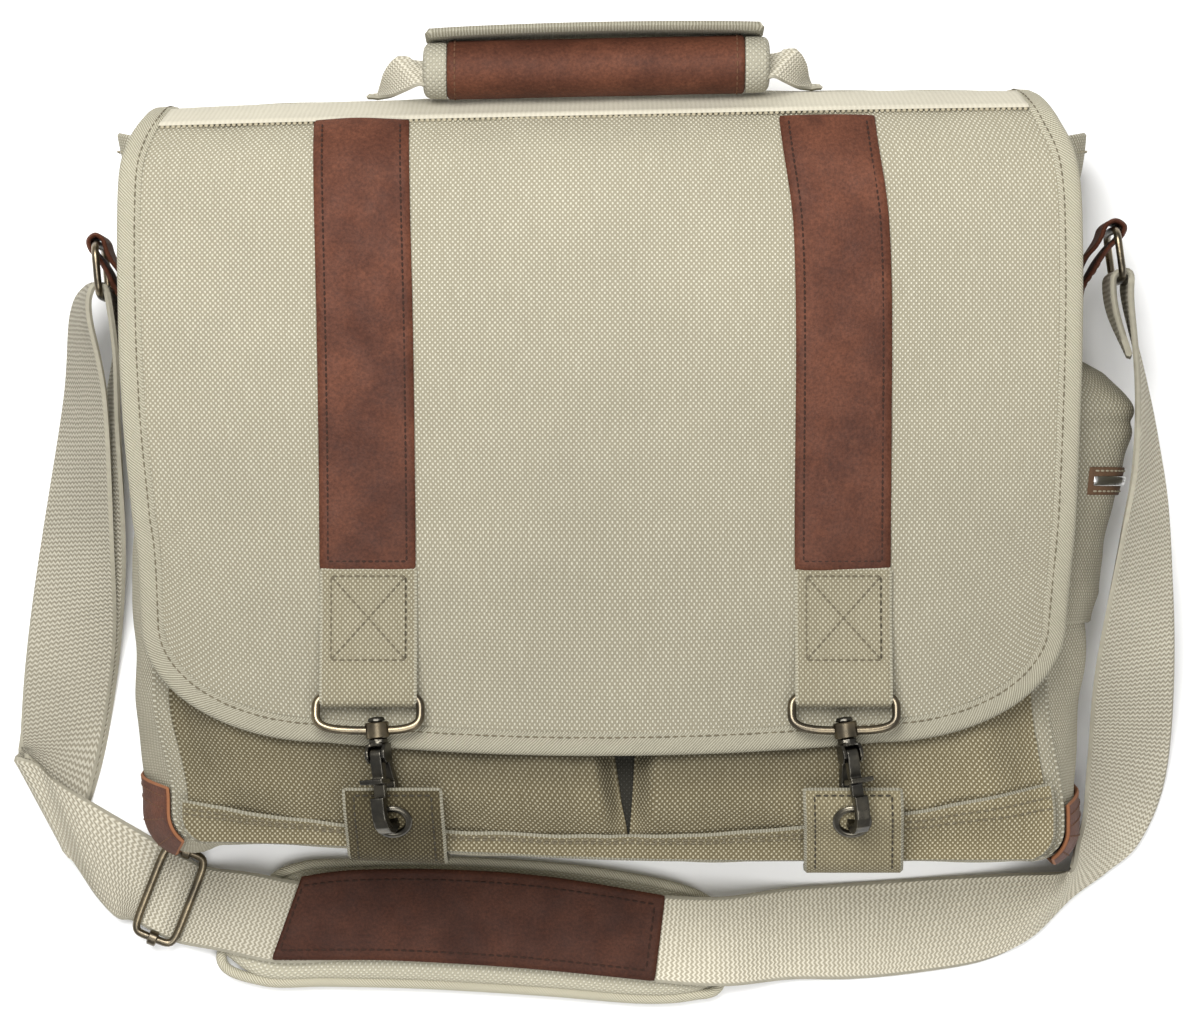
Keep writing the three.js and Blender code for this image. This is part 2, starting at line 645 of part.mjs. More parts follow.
for (const [side, strap] of Object.entries(flapStraps)) {
  const tilt = radians(strap.hookTilt);
  const ringAt = (angle) => {
    const rise = swivel.height * (0.5 + 0.5 * squared(Math.sin(angle), 5));
    const x = strap.tabX - strap.bossX + swivel.halfWidth * squared(Math.cos(angle), 5);
    return point(x, rise, -swivel.drop * rise / swivel.height);
  };
  const bossProfile = [
    [swivel.bore, -3], [swivel.boss, -3], [swivel.boss, 3.5], [swivel.bore, 3.5], [swivel.bore, -3],
  ];
  const boss = turned(bossProfile, 8).rotateZ(tilt);
  const bore = new THREE.CylinderGeometry(swivel.bore, swivel.bore, 12, 8).rotateZ(tilt);
  const ring = join(cut(wireLoop(ringAt, swivel.wire), bore), boss);
  const closure = new THREE.Group();
  closure.position.set(strap.bossX, hook.y, hook.z);
  bag.add(closure);
  addPiece(`${side}_swivel_ring`, ring, 'brass', closure);

  const hanging = new THREE.Group();
  hanging.rotation.set(0, radians(strap.hookRoll), tilt, 'ZYX');
  closure.add(hanging);
  addPiece(`${side}_snap_hook`, hookBody(), 'brass', hanging);
  addPiece(`${side}_snap_lever`, hookLever(), 'brass', hanging);

  const tabPoint = (u, v) => {
    const place = v * (closureRows.length - 1);
    const x = mix(strap.tabBottomX, strap.tabTopX, v) + (u - 0.5) * (webbingWidth + 1);
    const sink = sinkAt(x) * rowAt(closureRows, 'sunk', place);
    return point(x, rowAt(closureRows, 'y', place) - sink, rowAt(closureRows, 'z', place));
  };
  const tabMiddle = mix(strap.tabBottomX, strap.tabTopX, eyeletPlace);
  const eyeletU = 0.5 + (strap.eyeletX - tabMiddle) / (webbingWidth + 1);
  const eyeletAt = tabPoint(eyeletU, eyeletPlace);
  const outward = normalAt(tabPoint, eyeletU, eyeletPlace);
  const turn = new THREE.Quaternion().setFromUnitVectors(point(0, 1, 0), outward);
  const seatAt = (geometry) => geometry.applyQuaternion(turn).translate(eyeletAt.x, eyeletAt.y, eyeletAt.z);
  const hole = seatAt(new THREE.CylinderGeometry(6.2, 6.2, 12, 12));
  const tab = cut(sheet(tabPoint, 2, 12, -closureCloth / 2, closureCloth / 2), hole);
  addPiece(`${side}_closure_tab`, tab, 'twill');
  const eyeletProfile = [
    [5.3, -2.3], [5.8, -2.3], [5.8, 1.9], [7.2, 1.9], [6.6, 2.6], [5.3, 2.6], [5.3, -2.3],
  ];
  addPiece(`${side}_eyelet`, seatAt(turned(eyeletProfile, 12)), 'brass');
}

// Carrying handle: webbing sewn on behind the top band, a padded roll, its leather wrap and its upper leaf
const handle = {
  y: 169.6, z: 78, halfDepth: 12.6, left: -73.8, right: 70.8, leatherLeft: -63, leatherRight: 59.6,
  webWidth: 19, webCloth: 2, footFront: 6.95, footBack: 7.9, leanX: 8, leanY: 9, sides: 14,
};
const handleY = (x) => handle.y + flapTilt * x; // the handle leans as the flap's top does

// Handle's webbing: its rise over the roll's axis, its share of the way down to where it is sewn,
// and how far it turns its face to the front
const handleRows = [
  { x: -106, rise: 0, sewn: 1, lean: 0 },
  { x: -97, rise: 0, sewn: 1, lean: 0.1 },
  { x: -91, rise: -2, sewn: 0.75, lean: 0.5 },
  { x: -86, rise: -1, sewn: 0.35, lean: 1 },
  { x: -81, rise: 0, sewn: 0.05, lean: 0.7 },
  { x: -76, rise: 0, sewn: 0, lean: 0 },
  { x: -60, rise: 0, sewn: 0, lean: 0 },
  { x: 56, rise: 0, sewn: 0, lean: 0 },
  { x: 73, rise: 0, sewn: 0, lean: 0 },
  { x: 78, rise: 0, sewn: 0.05, lean: 0.7 },
  { x: 83, rise: -1, sewn: 0.35, lean: 1 },
  { x: 89, rise: -2, sewn: 0.75, lean: 0.5 },
  { x: 96, rise: 0, sewn: 1, lean: 0.1 },
  { x: 105, rise: 0, sewn: 1, lean: 0 },
];
function handleFoot(x, across) {
  const u = 0.5 + Math.asin(x / bodyHalfWidth) / Math.PI;
  const v = mix(handle.footFront, handle.footBack, across) / lastFlapRow;
  return flapPoint(u, v).addScaledVector(flapNormal(u, v), half + seat + handle.webCloth / 2);
}
const handlePoint = (u, v) => {
  const place = v * (handleRows.length - 1);
  const x = rowAt(handleRows, 'x', place);
  const y = handleY(x) + rowAt(handleRows, 'rise', place);
  const free = point(x, y, handle.z + (0.5 - u) * handle.webWidth);
  const turned = rowAt(handleRows, 'lean', place) * (0.5 - u);
  const webPoint = free.lerp(handleFoot(x, u), clamp(rowAt(handleRows, 'sewn', place), 0, 1));
  return webPoint.add(point(-Math.sign(x) * handle.leanX * turned, -handle.leanY * turned, 0));
};
addPiece('handle_webbing', sheet(handlePoint, 1, 22, -handle.webCloth / 2, handle.webCloth / 2), 'webbing');

// Sections of the padded roll, thicker in the canvas collars at its ends
const gripRows = [
  { x: handle.left, radius: gripRadius },
  { x: handle.left + 2, radius: gripRadius + 2 },
  { x: handle.leatherLeft - 1.5, radius: gripRadius + 2 },
  { x: handle.leatherLeft - gap, radius: gripRadius },
  { x: handle.leatherRight + gap, radius: gripRadius },
  { x: handle.leatherRight + 1.5, radius: gripRadius + 2 },
  { x: handle.right - 2, radius: gripRadius + 2 },
  { x: handle.right, radius: gripRadius },
];
function gripAt(x, radius, angle) {
  const depth = radius + handle.halfDepth - gripRadius;
  return point(x, handleY(x) + radius * Math.sin(angle), handle.z + depth * Math.cos(angle));
}
const gripRings = gripRows.map((row) => Array.from({ length: handle.sides }, (_, k) => (
  gripAt(row.x, row.radius, 2 * Math.PI * k / handle.sides)
)));
const slotLength = 2 * (handle.right - handle.left);
const slot = new THREE.BoxGeometry(slotLength, handle.webCloth + 2 * gap, handle.webWidth + 2 * gap);
slot.rotateZ(Math.atan(flapTilt)).translate(0, handle.y, handle.z);
addPiece('handle_grip', cut(loft(gripRings), slot), 'canvas');

const wrapTurn = { from: -0.55 * Math.PI, to: 0.62 * Math.PI }; // from under the roll to its top
const wrapFace = (radius) => (u, v) => gripAt(
  mix(handle.leatherLeft + gap, handle.leatherRight - gap, u),
  radius,
  mix(wrapTurn.from, wrapTurn.to, v),
);
const wrapInner = gripRadius + seat;
addPiece('handle_leather', wall(2, 12, wrapFace(wrapInner + leather), wrapFace(wrapInner)), 'leather');

const leaf = {
  left: -71, right: 66.5, low: gripRadius + 2.4, rise: 2.2, lean: -0.1, halfWidth: 10.5, cloth: 3.4,
};
const leafFace = (lift) => (u, v) => {
  const arch = Math.sin(Math.PI * mix(0.02, 0.98, u)) ** 0.6;
  const roll = 1 - (2 * v - 1) ** 2;
  const x = mix(leaf.left, leaf.right, u);
  const forward = (2 * v - 1) * leaf.halfWidth;
  const y = handleY(x) + leaf.low + leaf.rise * arch * (0.75 + 0.25 * roll) - leaf.lean * forward + lift;
  return point(x, y, handle.z + forward);
};
addPiece('handle_cover', wall(10, 2, leafFace(leaf.cloth), leafFace(0)), 'canvas');

// Leather loops on the gussets that hold the side rings: how far out of the gusset, and the height y
const ringLoopRows = [
  { out: 1.8, y: 62 },
  { out: 1.9, y: 72 },
  { out: 4.6, y: 84 },
  { out: 8.2, y: 93 },
  { out: 9.6, y: 98.2 },
  { out: 12.6, y: 100.4 },
  { out: 15.6, y: 98 },
  { out: 14.9, y: 94 },
  { out: 11.4, y: 89.5 },
  { out: 7.6, y: 82 },
  { out: 4.5, y: 72 },
  { out: 4.3, y: 62 },
];
const sideRing = { z: 52, halfWidth: 22.6, wire: 3.2, barOut: 12.5, barY: 96.6 };
const ringLoop = { width: 30, cloth: 1.8 };
const strapRings = {
  left: { side: -1, lift: 0, reach: 1, lowX: -209.5, lowY: 74.5 },
  right: { side: 1, lift: 6, reach: 1.3, lowX: 219, lowY: 81.5 },
};

for (const [name, ring] of Object.entries(strapRings)) {
  const outAt = (out) => (out > 2 ? 2 + (out - 2) * ring.reach : out);
  const gussetX = (y, share) => wallPoint(ring.side, gussetTop - y, share, half).x;
  const loopPoint = (u, v) => {
    const place = v * (ringLoopRows.length - 1);
    const y = rowAt(ringLoopRows, 'y', place) + ring.lift;
    const z = sideRing.z + (u - 0.5) * ringLoop.width;
    const out = rowAt(ringLoopRows, 'out', place);
    const share = clamp(z / depthAt(y), 0, 1);
    const sewnX = gussetX(y, share);
    const x = mix(sewnX, gussetX(y, 0.5), ease((out - 2) / 5));
    return point(x + ring.side * outAt(out), y, z);
  };
  addPiece(`${name}_ring_tab`, sheet(loopPoint, 2, 18, -ringLoop.cloth / 2, ringLoop.cloth / 2), 'leather');

  const barY = sideRing.barY + ring.lift;
  const bar = point(gussetX(barY, 0.5) + ring.side * outAt(sideRing.barOut), barY, sideRing.z);
  const low = point(ring.lowX, ring.lowY, sideRing.z);
  const middle = bar.clone().add(low).multiplyScalar(0.5);
  const reach = bar.clone().sub(low).multiplyScalar(0.5);
  const ringAt = (angle) => middle.clone()
    .addScaledVector(reach, squared(Math.sin(angle), 5))
    .add(point(0, 0, sideRing.halfWidth * squared(Math.cos(angle), 5)));
  addPiece(`${name}_side_ring`, wireLoop(ringAt, sideRing.wire), 'brass');
}

// Shoulder strap. Each run is a flat ribbon between two edges, a and b, given from row to row along it.
const ribbonPoint = (rows) => (u, v) => {
  const place = v * (rows.length - 1);
  const edge = (end) => point(...['x', 'y', 'z'].map((axis) => rowAt(rows, end + axis, place)));
  return edge('a').lerp(edge('b'), u);
};
const edgeColumns = ['ax', 'ay', 'az', 'bx', 'by', 'bz'];
const edgeRows = (...rows) => rows.map((row) => (
  Object.fromEntries(row.map((value, k) => [edgeColumns[k], value]))
));
function addRun(name, rows, stepsPerRow) {
  const steps = stepsPerRow * (rows.length - 1);
  addPiece(name, sheet(ribbonPoint(rows), 1, steps, -webbing / 2, webbing / 2), 'webbing');
}

// From the left ring down to the folded corner, turned over there and sewn round the slide's middle bar
const innerRun = edgeRows(
  [-211, 80.5, 34, -209.6, 79.5, 71], // over the ring's lower bar
  [-219, 79.5, 31, -213.2, 77, 70],
  [-225.5, 68, 27, -214.6, 66, 64],
  [-229.7, 32, 14, -209.6, 31.4, 48],
  [-241, -33.4, 5.6, -208.6, -31.5, 29],
  [-246.6, -77.9, 5, -209.6, -70.2, 12.6],
  [-249, -112.5, 4.7, -214.8, -106.8, 5.2],
  [-248.2, -118.6, 4.7, -220.6, -134, 4.7],
  [-247.4, -120.6, 4.8, -226, -154.6, 4.8],
  [-247.9, -121.8, 6.3, -227.6, -158.4, 6.3], // the fold
  [-246, -122, 7.8, -225.6, -161.2, 7.8],
  [-240.5, -126.6, 7.9, -222, -168.6, 7.8],
  [-233.2, -133.6, 7.8, -216.6, -180.2, 6.8],
  [-214, -145.5, 6.2, -208.6, -189.6, 5.2],
  [-188.9, -160.8, 2.4, -201.1, -191.4, 2.4],
  [-181, -165, 2, -193.2, -195.6, 2], // under the slide's middle bar
);
// From the left ring under and over the inner run, through the slide and onto the shoulder pad
const outerRun = edgeRows(
  [-207.8, 78.6, 34, -207.8, 78.6, 71], // inside the ring's lower bar
  [-206.1, 73, 33, -206.1, 73, 70],
  [-207.5, 50, 24, -204, 50, 60],
  [-216, 20, 9, -204.6, 20, 43],
  [-237, -33, 1.6, -204, -31, 24.6],
  [-245, -78, 1.4, -207.5, -70, 8],
  [-249.4, -112, 1.4, -213, -107, 1.6],
  [-250.4, -119, 1.5, -219.4, -134.6, 1.5],
  [-250.9, -121.6, 1.9, -228.4, -156.6, 1.9],
  [-251.9, -122.8, 6.4, -231, -160.8, 6.4], // the fold
  [-249.6, -122.8, 11, -229, -163.2, 11],
  [-241.4, -126, 11.5, -224, -170.6, 11.3],
  [-233.2, -133.6, 11.4, -217.2, -180.8, 10.4],
  [-214, -145.5, 9.8, -208.6, -189.6, 8.8],
  [-188.9, -160.8, 5.4, -201.1, -191.4, 5.4], // under the slide's left bar
  [-179.3, -165.7, 8.6, -191.5, -196.3, 8.6],
  [-169.4, -170.4, 5.4, -181.6, -201, 5.4], // under its right bar
  [-150, -172.6, 11, -163, -204, 11],
  [-128, -176.5, 12.3, -137, -209, 12.3],
  [-100, -177, 12.2, -105, -213, 12.2], // sewn down on the pad
);
// From the pad along the floor, twisted on edge at the corner and up through the right ring
const rightRun = edgeRows(
  [5, -179.5, 12.2, 2, -214.5, 12.2],
  [23.7, -182, 12.2, 19.4, -216.8, 12.2],
  [52.1, -183, 11.4, 53, -219, 11.4],
  [81.2, -179.7, 4, 82, -216.8, 4],
  [106.9, -177.9, 1.5, 108.2, -216.8, 1.5],
  [144, -175.3, 1.6, 136.3, -214.2, 1.6],
  [177, -173.2, 6, 166.1, -209, 1.6],
  [197.1, -171.2, 22, 185.5, -199.4, 2.5],
  [201, -167.7, 36, 203.2, -182.1, 2.5], // on edge
  [203.2, -158.3, 36, 218.4, -170.9, 2.5],
  [207.4, -145.7, 26, 233, -157.4, 3],
  [213, -122.3, 24, 245.2, -128.3, 6],
  [216, -81.4, 44, 245.9, -77.1, 30],
  [224, -26.5, 66, 243.3, -20.3, 38],
  [229, 3.7, 68, 240, 12.5, 36],
  [230, 37.2, 70, 235, 40.6, 34],
  [225.4, 72, 71, 226.4, 73, 34],
  [222.6, 83.4, 70, 222.6, 83.4, 35],
  [219, 85.2, 69.6, 219, 85.2, 35.4], // over the right ring's lower bar
);
const rightEnd = edgeRows(
  [217.6, 84.8, 69.6, 217.6, 84.8, 35.4],
  [215.2, 81, 70, 215.2, 81, 35],
  [216.4, 68, 70, 217.4, 68, 34],
  [222, 50, 69, 225.4, 50, 35], // sewn back to the run
);
addRun('strap_inner_run', innerRun, 2);
addRun('strap_outer_run', outerRun, 2);
addRun('strap_right_run', rightRun, 2);
addRun('strap_right_end', rightEnd, 3);

// Slide: a frame with a lower middle bar held by two collars
const slide = {
  x: -185.4, y: -181, z: 9.3, lean: Math.atan2(0.93, 0.367), halfLength: 20.1, halfWidth: 9.2,
  wire: 3.4, barZ: -4.1, bar: 3, collar: 3.3, collarLength: 4,
};
const slideFrame = wireLoop((angle) => point(
  slide.halfLength * squared(Math.cos(angle), 7),
  slide.halfWidth * squared(Math.sin(angle), 7),
  0,
), slide.wire);
const slideBar = new THREE.CylinderGeometry(slide.bar / 2, slide.bar / 2, 2 * slide.halfLength, 8);
slideBar.rotateZ(Math.PI / 2).translate(0, 0, slide.barZ);
const slideCollar = (end) => {
  const collar = new THREE.CylinderGeometry(slide.collar, slide.collar, slide.collarLength, 8);
  return collar.translate(end * slide.halfLength, 0, 0);
};
const slideSolid = join(slideFrame, slideBar, slideCollar(-1), slideCollar(1));
addPiece('slide_buckle', slideSolid.rotateZ(slide.lean).translate(slide.x, slide.y, slide.z), 'brass');

// Shoulder pad: its outline by upper edge a and lower edge b, from left to right
const padRows = [
  { ax: -143.2, ay: -177, bx: -163.5, by: -208 },
  { ax: -128.1, ay: -169.2, bx: -145.8, by: -218.4 },
  { ax: -107.4, ay: -167.9, bx: -116.5, by: -218.8 },
  { ax: -68.6, ay: -167, bx: -77.6, by: -219.7 },
  { ax: -15.1, ay: -170.1, bx: -25.9, by: -222.7 },
  { ax: 29.3, ay: -177.4, bx: 17.3, by: -226.1 },
  { ax: 48.7, ay: -185.6, bx: 39.7, by: -224.8 },
  { ax: 52.6, ay: -194.2, bx: 51.8, by: -219.7 },
];
const pad = { low: gap, high: 10.4, sides: 10, inset: 3.9, rim: 4.6, leatherLow: 13.8 };
const padCentre = (pad.low + pad.high) / 2;
const padRings = padRows.map((row, index) => {
  const ends = { 0: pad.inset, [padRows.length - 1]: -pad.inset };
  const upper = point(row.ax, row.ay, padCentre);
  const lower = point(row.bx, row.by, padCentre);
  const halfSpan = upper.clone().sub(lower).multiplyScalar(0.5);
  const middle = lower.clone().add(halfSpan).add(point(ends[index] ?? 0, 0, 0));
  const inner = halfSpan.multiplyScalar(1 - pad.inset / halfSpan.length());
  return Array.from({ length: pad.sides }, (_, k) => {
    const angle = 2 * Math.PI * k / pad.sides;
    const rise = (pad.high - pad.low) / 2 * squared(Math.sin(angle), 3);
    return middle.clone().addScaledVector(inner, squared(Math.cos(angle), 3)).add(point(0, 0, rise));
  });
});
addPiece('shoulder_pad', loft(padRings), 'canvas');

const rimPoints = [
  ...padRows.map((row) => point(row.ax, row.ay, padCentre)),
  ...padRows.map((row) => point(row.bx, row.by, padCentre)).reverse(),
];
const rimCurve = new THREE.CatmullRomCurve3(rimPoints, true, 'centripetal');
addPiece('pad_binding', new THREE.TubeGeometry(rimCurve, 30, pad.rim / 2, 5, true), 'twill');

const padLeatherRows = [
  { ax: -127.7, ay: -173.5, bx: -140.2, by: -207.9 },
  { ax: -107.1, ay: -170.9, bx: -116.1, by: -207.9 },
  { ax: -68.4, ay: -170.5, bx: -86, by: -208.3 },
  { ax: -24.1, ay: -173.5, bx: -34.4, by: -211.3 },
  { ax: 27.1, ay: -181.7, bx: 22.8, by: -216.9 },
];
const padLeatherFace = (lift) => (u, v) => {
  const place = v * (padLeatherRows.length - 1);
  const at = (column) => rowAt(padLeatherRows, column, place);
  return point(mix(at('ax'), at('bx'), u), mix(at('ay'), at('by'), u), pad.leatherLow + lift);
};
addPiece('pad_leather', wall(1, 8, padLeatherFace(leather), padLeatherFace(0)), 'leather');

export default bag;
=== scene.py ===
import math
import bpy
import numpy as np
from mathutils import Matrix, Vector


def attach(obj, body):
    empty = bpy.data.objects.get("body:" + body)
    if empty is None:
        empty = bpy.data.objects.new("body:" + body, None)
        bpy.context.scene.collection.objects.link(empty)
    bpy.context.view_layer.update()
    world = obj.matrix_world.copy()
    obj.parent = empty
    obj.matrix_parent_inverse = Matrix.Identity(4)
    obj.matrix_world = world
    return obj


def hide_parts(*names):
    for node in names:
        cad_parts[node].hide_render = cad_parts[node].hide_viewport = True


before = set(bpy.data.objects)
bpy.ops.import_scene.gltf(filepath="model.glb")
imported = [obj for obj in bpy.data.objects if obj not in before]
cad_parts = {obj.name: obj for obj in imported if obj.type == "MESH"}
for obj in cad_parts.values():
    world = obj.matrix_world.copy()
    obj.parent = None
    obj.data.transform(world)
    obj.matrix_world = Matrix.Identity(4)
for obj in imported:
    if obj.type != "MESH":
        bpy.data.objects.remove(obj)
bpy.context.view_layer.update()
print("frame loaded")

# Sizes in this script are millimetres in the frame of the solids; meshes are made in metres.
mm = 0.001
pi = math.pi
sizes = {
    "gap": 0.3, "seat": 0.7, "canvas": 2.0, "webbing": 2.2, "leather": 1.8, "strapWidth": 38.0,
    "halfWidth": 186.0, "bottom": -154.0, "corner": 12.0, "backTop": 150.0, "frontTop": 137.0,
    "gussetTop": 138.0, "gussetPeak": 6.0, "frontCrown": 5.0, "baseBulge": 2.5, "bulgeFade": 25.0,
}
halfCloth = sizes["canvas"] / 2


def table(names, *rows):
    return {name: np.array([row[k] for row in rows], float) for k, name in enumerate(names.split())}


def unit(vectors):
    return vectors / np.maximum(np.linalg.norm(vectors, axis=-1, keepdims=True), 1e-9)


def runLength(path):  # running length along points
    return np.concatenate([[0], np.cumsum(np.linalg.norm(np.diff(path, axis=0), axis=1))])


def along(values, lengths, place):  # rows of values at places along a path
    return np.stack([np.interp(place, lengths, column) for column in values.T], -1)


def circle(count):  # angles once round
    return np.linspace(0, 2 * pi, count, endpoint=False)


def mix(a, b, share):
    return a + (b - a) * share


def ease(value):
    t = np.clip(value, 0, 1)
    return t * t * (3 - 2 * t)


def point(x, y, z):
    return np.stack(np.broadcast_arrays(x, y, z), -1).astype(float)


def curveAt(values, place):  # smooth curve through a table's column
    last = len(values) - 1
    index = np.clip(np.floor(place), 0, last - 1).astype(int)
    t = place - index
    a, b, c, d = (values[np.clip(index + k, 0, last)] for k in (-1, 0, 1, 2))
    return 0.5 * (2 * b + (c - a) * t + (2 * a - 5 * b + 4 * c - d) * t**2 + (3 * b - a - 3 * c + d) * t**3)


def placeIn(rows, share):  # place in a table's rows, from 0 to 1 of the way
    return share * (len(next(iter(rows.values()))) - 1)


def heightAt(rows, name, y):  # the same at a height y
    return curveAt(rows[name], np.interp(y, rows["y"], np.arange(len(rows["y"]))))


def grid(uSteps, vSteps):
    return np.linspace(0, 1, uSteps + 1)[:, None], np.linspace(0, 1, vSteps + 1)[None, :]


def waves(x, y, seed, size):  # soft seeded noise, about -1 to 1, with swells of a size in mm
    count, total = 9, 0
    rng = np.random.default_rng(seed)
    draws = [rng.uniform(low, high, count) for low, high in ((0, 2 * pi), (0, 2 * pi), (0.6, 1.7))]
    for turn, phase, scale in zip(*draws):
        total = total + np.sin(2 * pi * (x * math.cos(turn) + y * math.sin(turn)) / (size * scale) + phase)
    return total / math.sqrt(count * 1.6)


# Shapes shared with the solids
depthRows = table("y depth", (-154, 70), (-120, 73), (-60, 77), (0, 83), (60, 88), (110, 85), (146, 75))
gussetRows = table(
    "y left right", (-130, 14, 7), (-100, 13, 18), (-72, 12, 21), (-40, 11, 15), (40, 10, 12), (110, 14, 15),
    (146, 20, 22),
)
flapRows = table(
    "y z left right tilt",
    (-115.6, 98, 189, 192, 0), (-40, 98.5, 191, 195, 0), (30, 98.5, 197, 198, 0), (90, 97.5, 199, 199, 0.3),
    (126, 94.5, 198.5, 197, 0.7), (143, 87, 195, 190, 1), (153, 75, 190, 185, 1), (158.5, 58, 188, 182, 1),
    (160, 40, 187, 181, 1), (159.5, 20, 186, 181, 0.6), (156.5, 6, 185, 181, 0.2), (151.5, 1.2, 184, 181, 0),
)
flapShape = {
    "tilt": 0.021, "droop": 5, "cornerStart": -62, "straight": 0.6, "scaledBelow": -20, "sag": 5.5,
    "turnLow": 55, "turnRun": 35, "tuck": 3, "topRow": 6.4,
}
lastFlapRow = len(flapRows["y"]) - 1
lean = {"top": -92, "height": 45, "left": -0.043, "right": 0.04, "sink": 7.5, "from": -190, "to": 60}
wallHalf = sizes["halfWidth"] - halfCloth
wallCorner = sizes["corner"] - halfCloth
cornerY = sizes["bottom"] + sizes["corner"]
cornerX = sizes["halfWidth"] - sizes["corner"]
sideRun = sizes["gussetTop"] - cornerY
cornerRun = wallCorner * pi / 2


def frontAt(x, y):
    return heightAt(depthRows, "depth", y) + sizes["frontCrown"] * (1 - (x / sizes["halfWidth"]) ** 2)


def seamHalf(y):
    corner = sizes["corner"]
    rise = np.clip(y - sizes["bottom"], 0, corner)
    return sizes["halfWidth"] - corner + np.sqrt(corner**2 - (corner - rise) ** 2)


def sinkAt(x):
    return lean["sink"] * ease((x - lean["from"]) / (lean["to"] - lean["from"]))


# The lower body is out of square: its left corner draws in, and its right one spreads and sinks.
def leaned(x, y, z):
    share = ease((lean["top"] - y) / lean["height"])
    return point(x * (1 + share * np.where(x < 0, lean["left"], lean["right"])), y - share * sinkAt(x), z)


def wallPoint(side, run, share, distance):  # gussets and base: down a side, round a corner, along the bottom
    run, share, distance = np.broadcast_arrays(run * 1.0, share * 1.0, distance * 1.0)
    turn = np.clip((run - sideRun) / wallCorner, 0, pi / 2)
    past = np.maximum(run - sideRun - cornerRun, 0)
    outX, outY = np.cos(turn), -np.sin(turn)
    straightY = sizes["gussetTop"] - run
    onSide = run <= sideRun
    x = np.where(onSide, wallHalf, cornerX + wallCorner * outX - past)
    y = np.where(onSide, straightY, cornerY + wallCorner * outY)
    bulge = heightAt(gussetRows, "left" if side < 0 else "right", np.maximum(straightY, cornerY))
    bulge = mix(bulge, sizes["baseBulge"], ease((run - sideRun) / sizes["bulgeFade"]))
    out = bulge * np.sin(pi * share) + distance
    z = mix(sizes["canvas"] + sizes["gap"], frontAt(x, y) - sizes["seat"], share)
    return leaned(side * (x + outX * out), y + outY * out, z)


def flapEdgeY(aside):
    low = flapRows["y"][0]
    straight = low + flapShape["sag"] * (aside / flapShape["straight"]) ** 2
    turn = np.clip((aside - flapShape["straight"]) / (1 - flapShape["straight"]), 0, 1)
    start = flapShape["cornerStart"]
    rounded = start - (start - low - flapShape["sag"]) * np.sqrt(1 - turn * turn)
    return np.where(aside <= flapShape["straight"], straight, rounded)


def flapEdgeX(side, place):  # half width of the flap on one side
    return np.where(side < 0, curveAt(flapRows["left"], place), curveAt(flapRows["right"], place))


def flapPoint(u, v):
    place = v * lastFlapRow
    across = np.sin((u - 0.5) * pi)
    aside = np.abs(across)
    x = across * flapEdgeX(across, place)
    tilt, y, z = (curveAt(flapRows[name], place) for name in ("tilt", "y", "z"))
    front = ease((z - flapShape["turnLow"]) / flapShape["turnRun"])
    bend = flapShape["scaledBelow"]
    scaled = bend + (y - bend) * (flapEdgeY(aside) - bend) / (flapRows["y"][0] - bend)
    y = np.where((y < bend) & (front > 0), scaled, y)
    z = z - flapShape["droop"] * aside**3 * front
    y = y + flapShape["tilt"] * x * tilt - flapShape["tuck"] * aside**4 * (1 - front) * tilt
    return point(x, y, z)


def flapNormal(u, v):
    u, v = np.broadcast_arrays(u * 1.0, v * 1.0)
    step = 0.004
    inner = np.clip(u, 0.01, 0.99)
    along = flapPoint(inner + step, v) - flapPoint(inner - step, v)
    across = flapPoint(inner, np.minimum(v + step, 1)) - flapPoint(inner, np.maximum(v - step, 0))
    bent = np.cross(along, across)
    side = np.sin((u - 0.5) * pi)
    slope = 3 * flapShape["droop"] * side * np.abs(side) / flapRows["left"][0]
    flat = point(slope, 0 * slope, 1 + 0 * slope)
    return unit(np.where((v * lastFlapRow > 2)[..., None], bent, flat))


def onFlap(x, y, lift):  # point of the flap's front over x and y, lifted off the middle of its cloth
    x, y = np.broadcast_arrays(x * 1.0, y * 1.0)
    low, high = np.zeros_like(x), np.full_like(x, flapShape["topRow"] / lastFlapRow)
    for _ in range(26):
        v = (low + high) / 2
        edge = flapEdgeX(x, v * lastFlapRow)
        u = 0.5 + np.arcsin(np.clip(x / edge, -1, 1)) / pi
        below = flapPoint(u, v)[..., 1] < y
        low, high = np.where(below, v, low), np.where(below, high, v)
    return flapPoint(u, low) + flapNormal(u, low) * np.asarray(lift)[..., None]


# Mesh makers
threads = []  # rows of stitches, made together at the end


def newObject(name, verts, faces, material, uv=None, rimFaces=0, rimMaterial=None, smoothAngle=50):
    mesh = bpy.data.meshes.new(name)
    mesh.from_pydata((np.asarray(verts) * mm).tolist(), [], [list(map(int, face)) for face in faces])
    mesh.materials.append(material)
    if rimMaterial:
        mesh.materials.append(rimMaterial)
        index = np.zeros(len(faces), int)
        index[len(faces) - rimFaces:] = 1
        mesh.polygons.foreach_set("material_index", index)
    if uv is not None:
        layer = mesh.uv_layers.new(name="weave")
        corner = np.zeros(len(mesh.loops), int)
        mesh.loops.foreach_get("vertex_index", corner)
        layer.data.foreach_set("uv", (np.asarray(uv)[corner] * mm).astype(np.float32).ravel())
    mesh.polygons.foreach_set("use_smooth", np.ones(len(mesh.polygons), bool))
    mesh.set_sharp_from_angle(angle=math.radians(smoothAngle))
    mesh.update()
    piece = bpy.data.objects.new(name, mesh)
    bpy.context.scene.collection.objects.link(piece)
    return piece


def settle(piece, node=None):  # gives a piece its body and hides the solid that it replaces
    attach(piece, "bag")
    if node != "":
        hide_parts(node or piece.name.replace("-", "_"))
    return piece


def normalsOf(points):
    return unit(np.cross(np.gradient(points, axis=0), np.gradient(points, axis=1)))


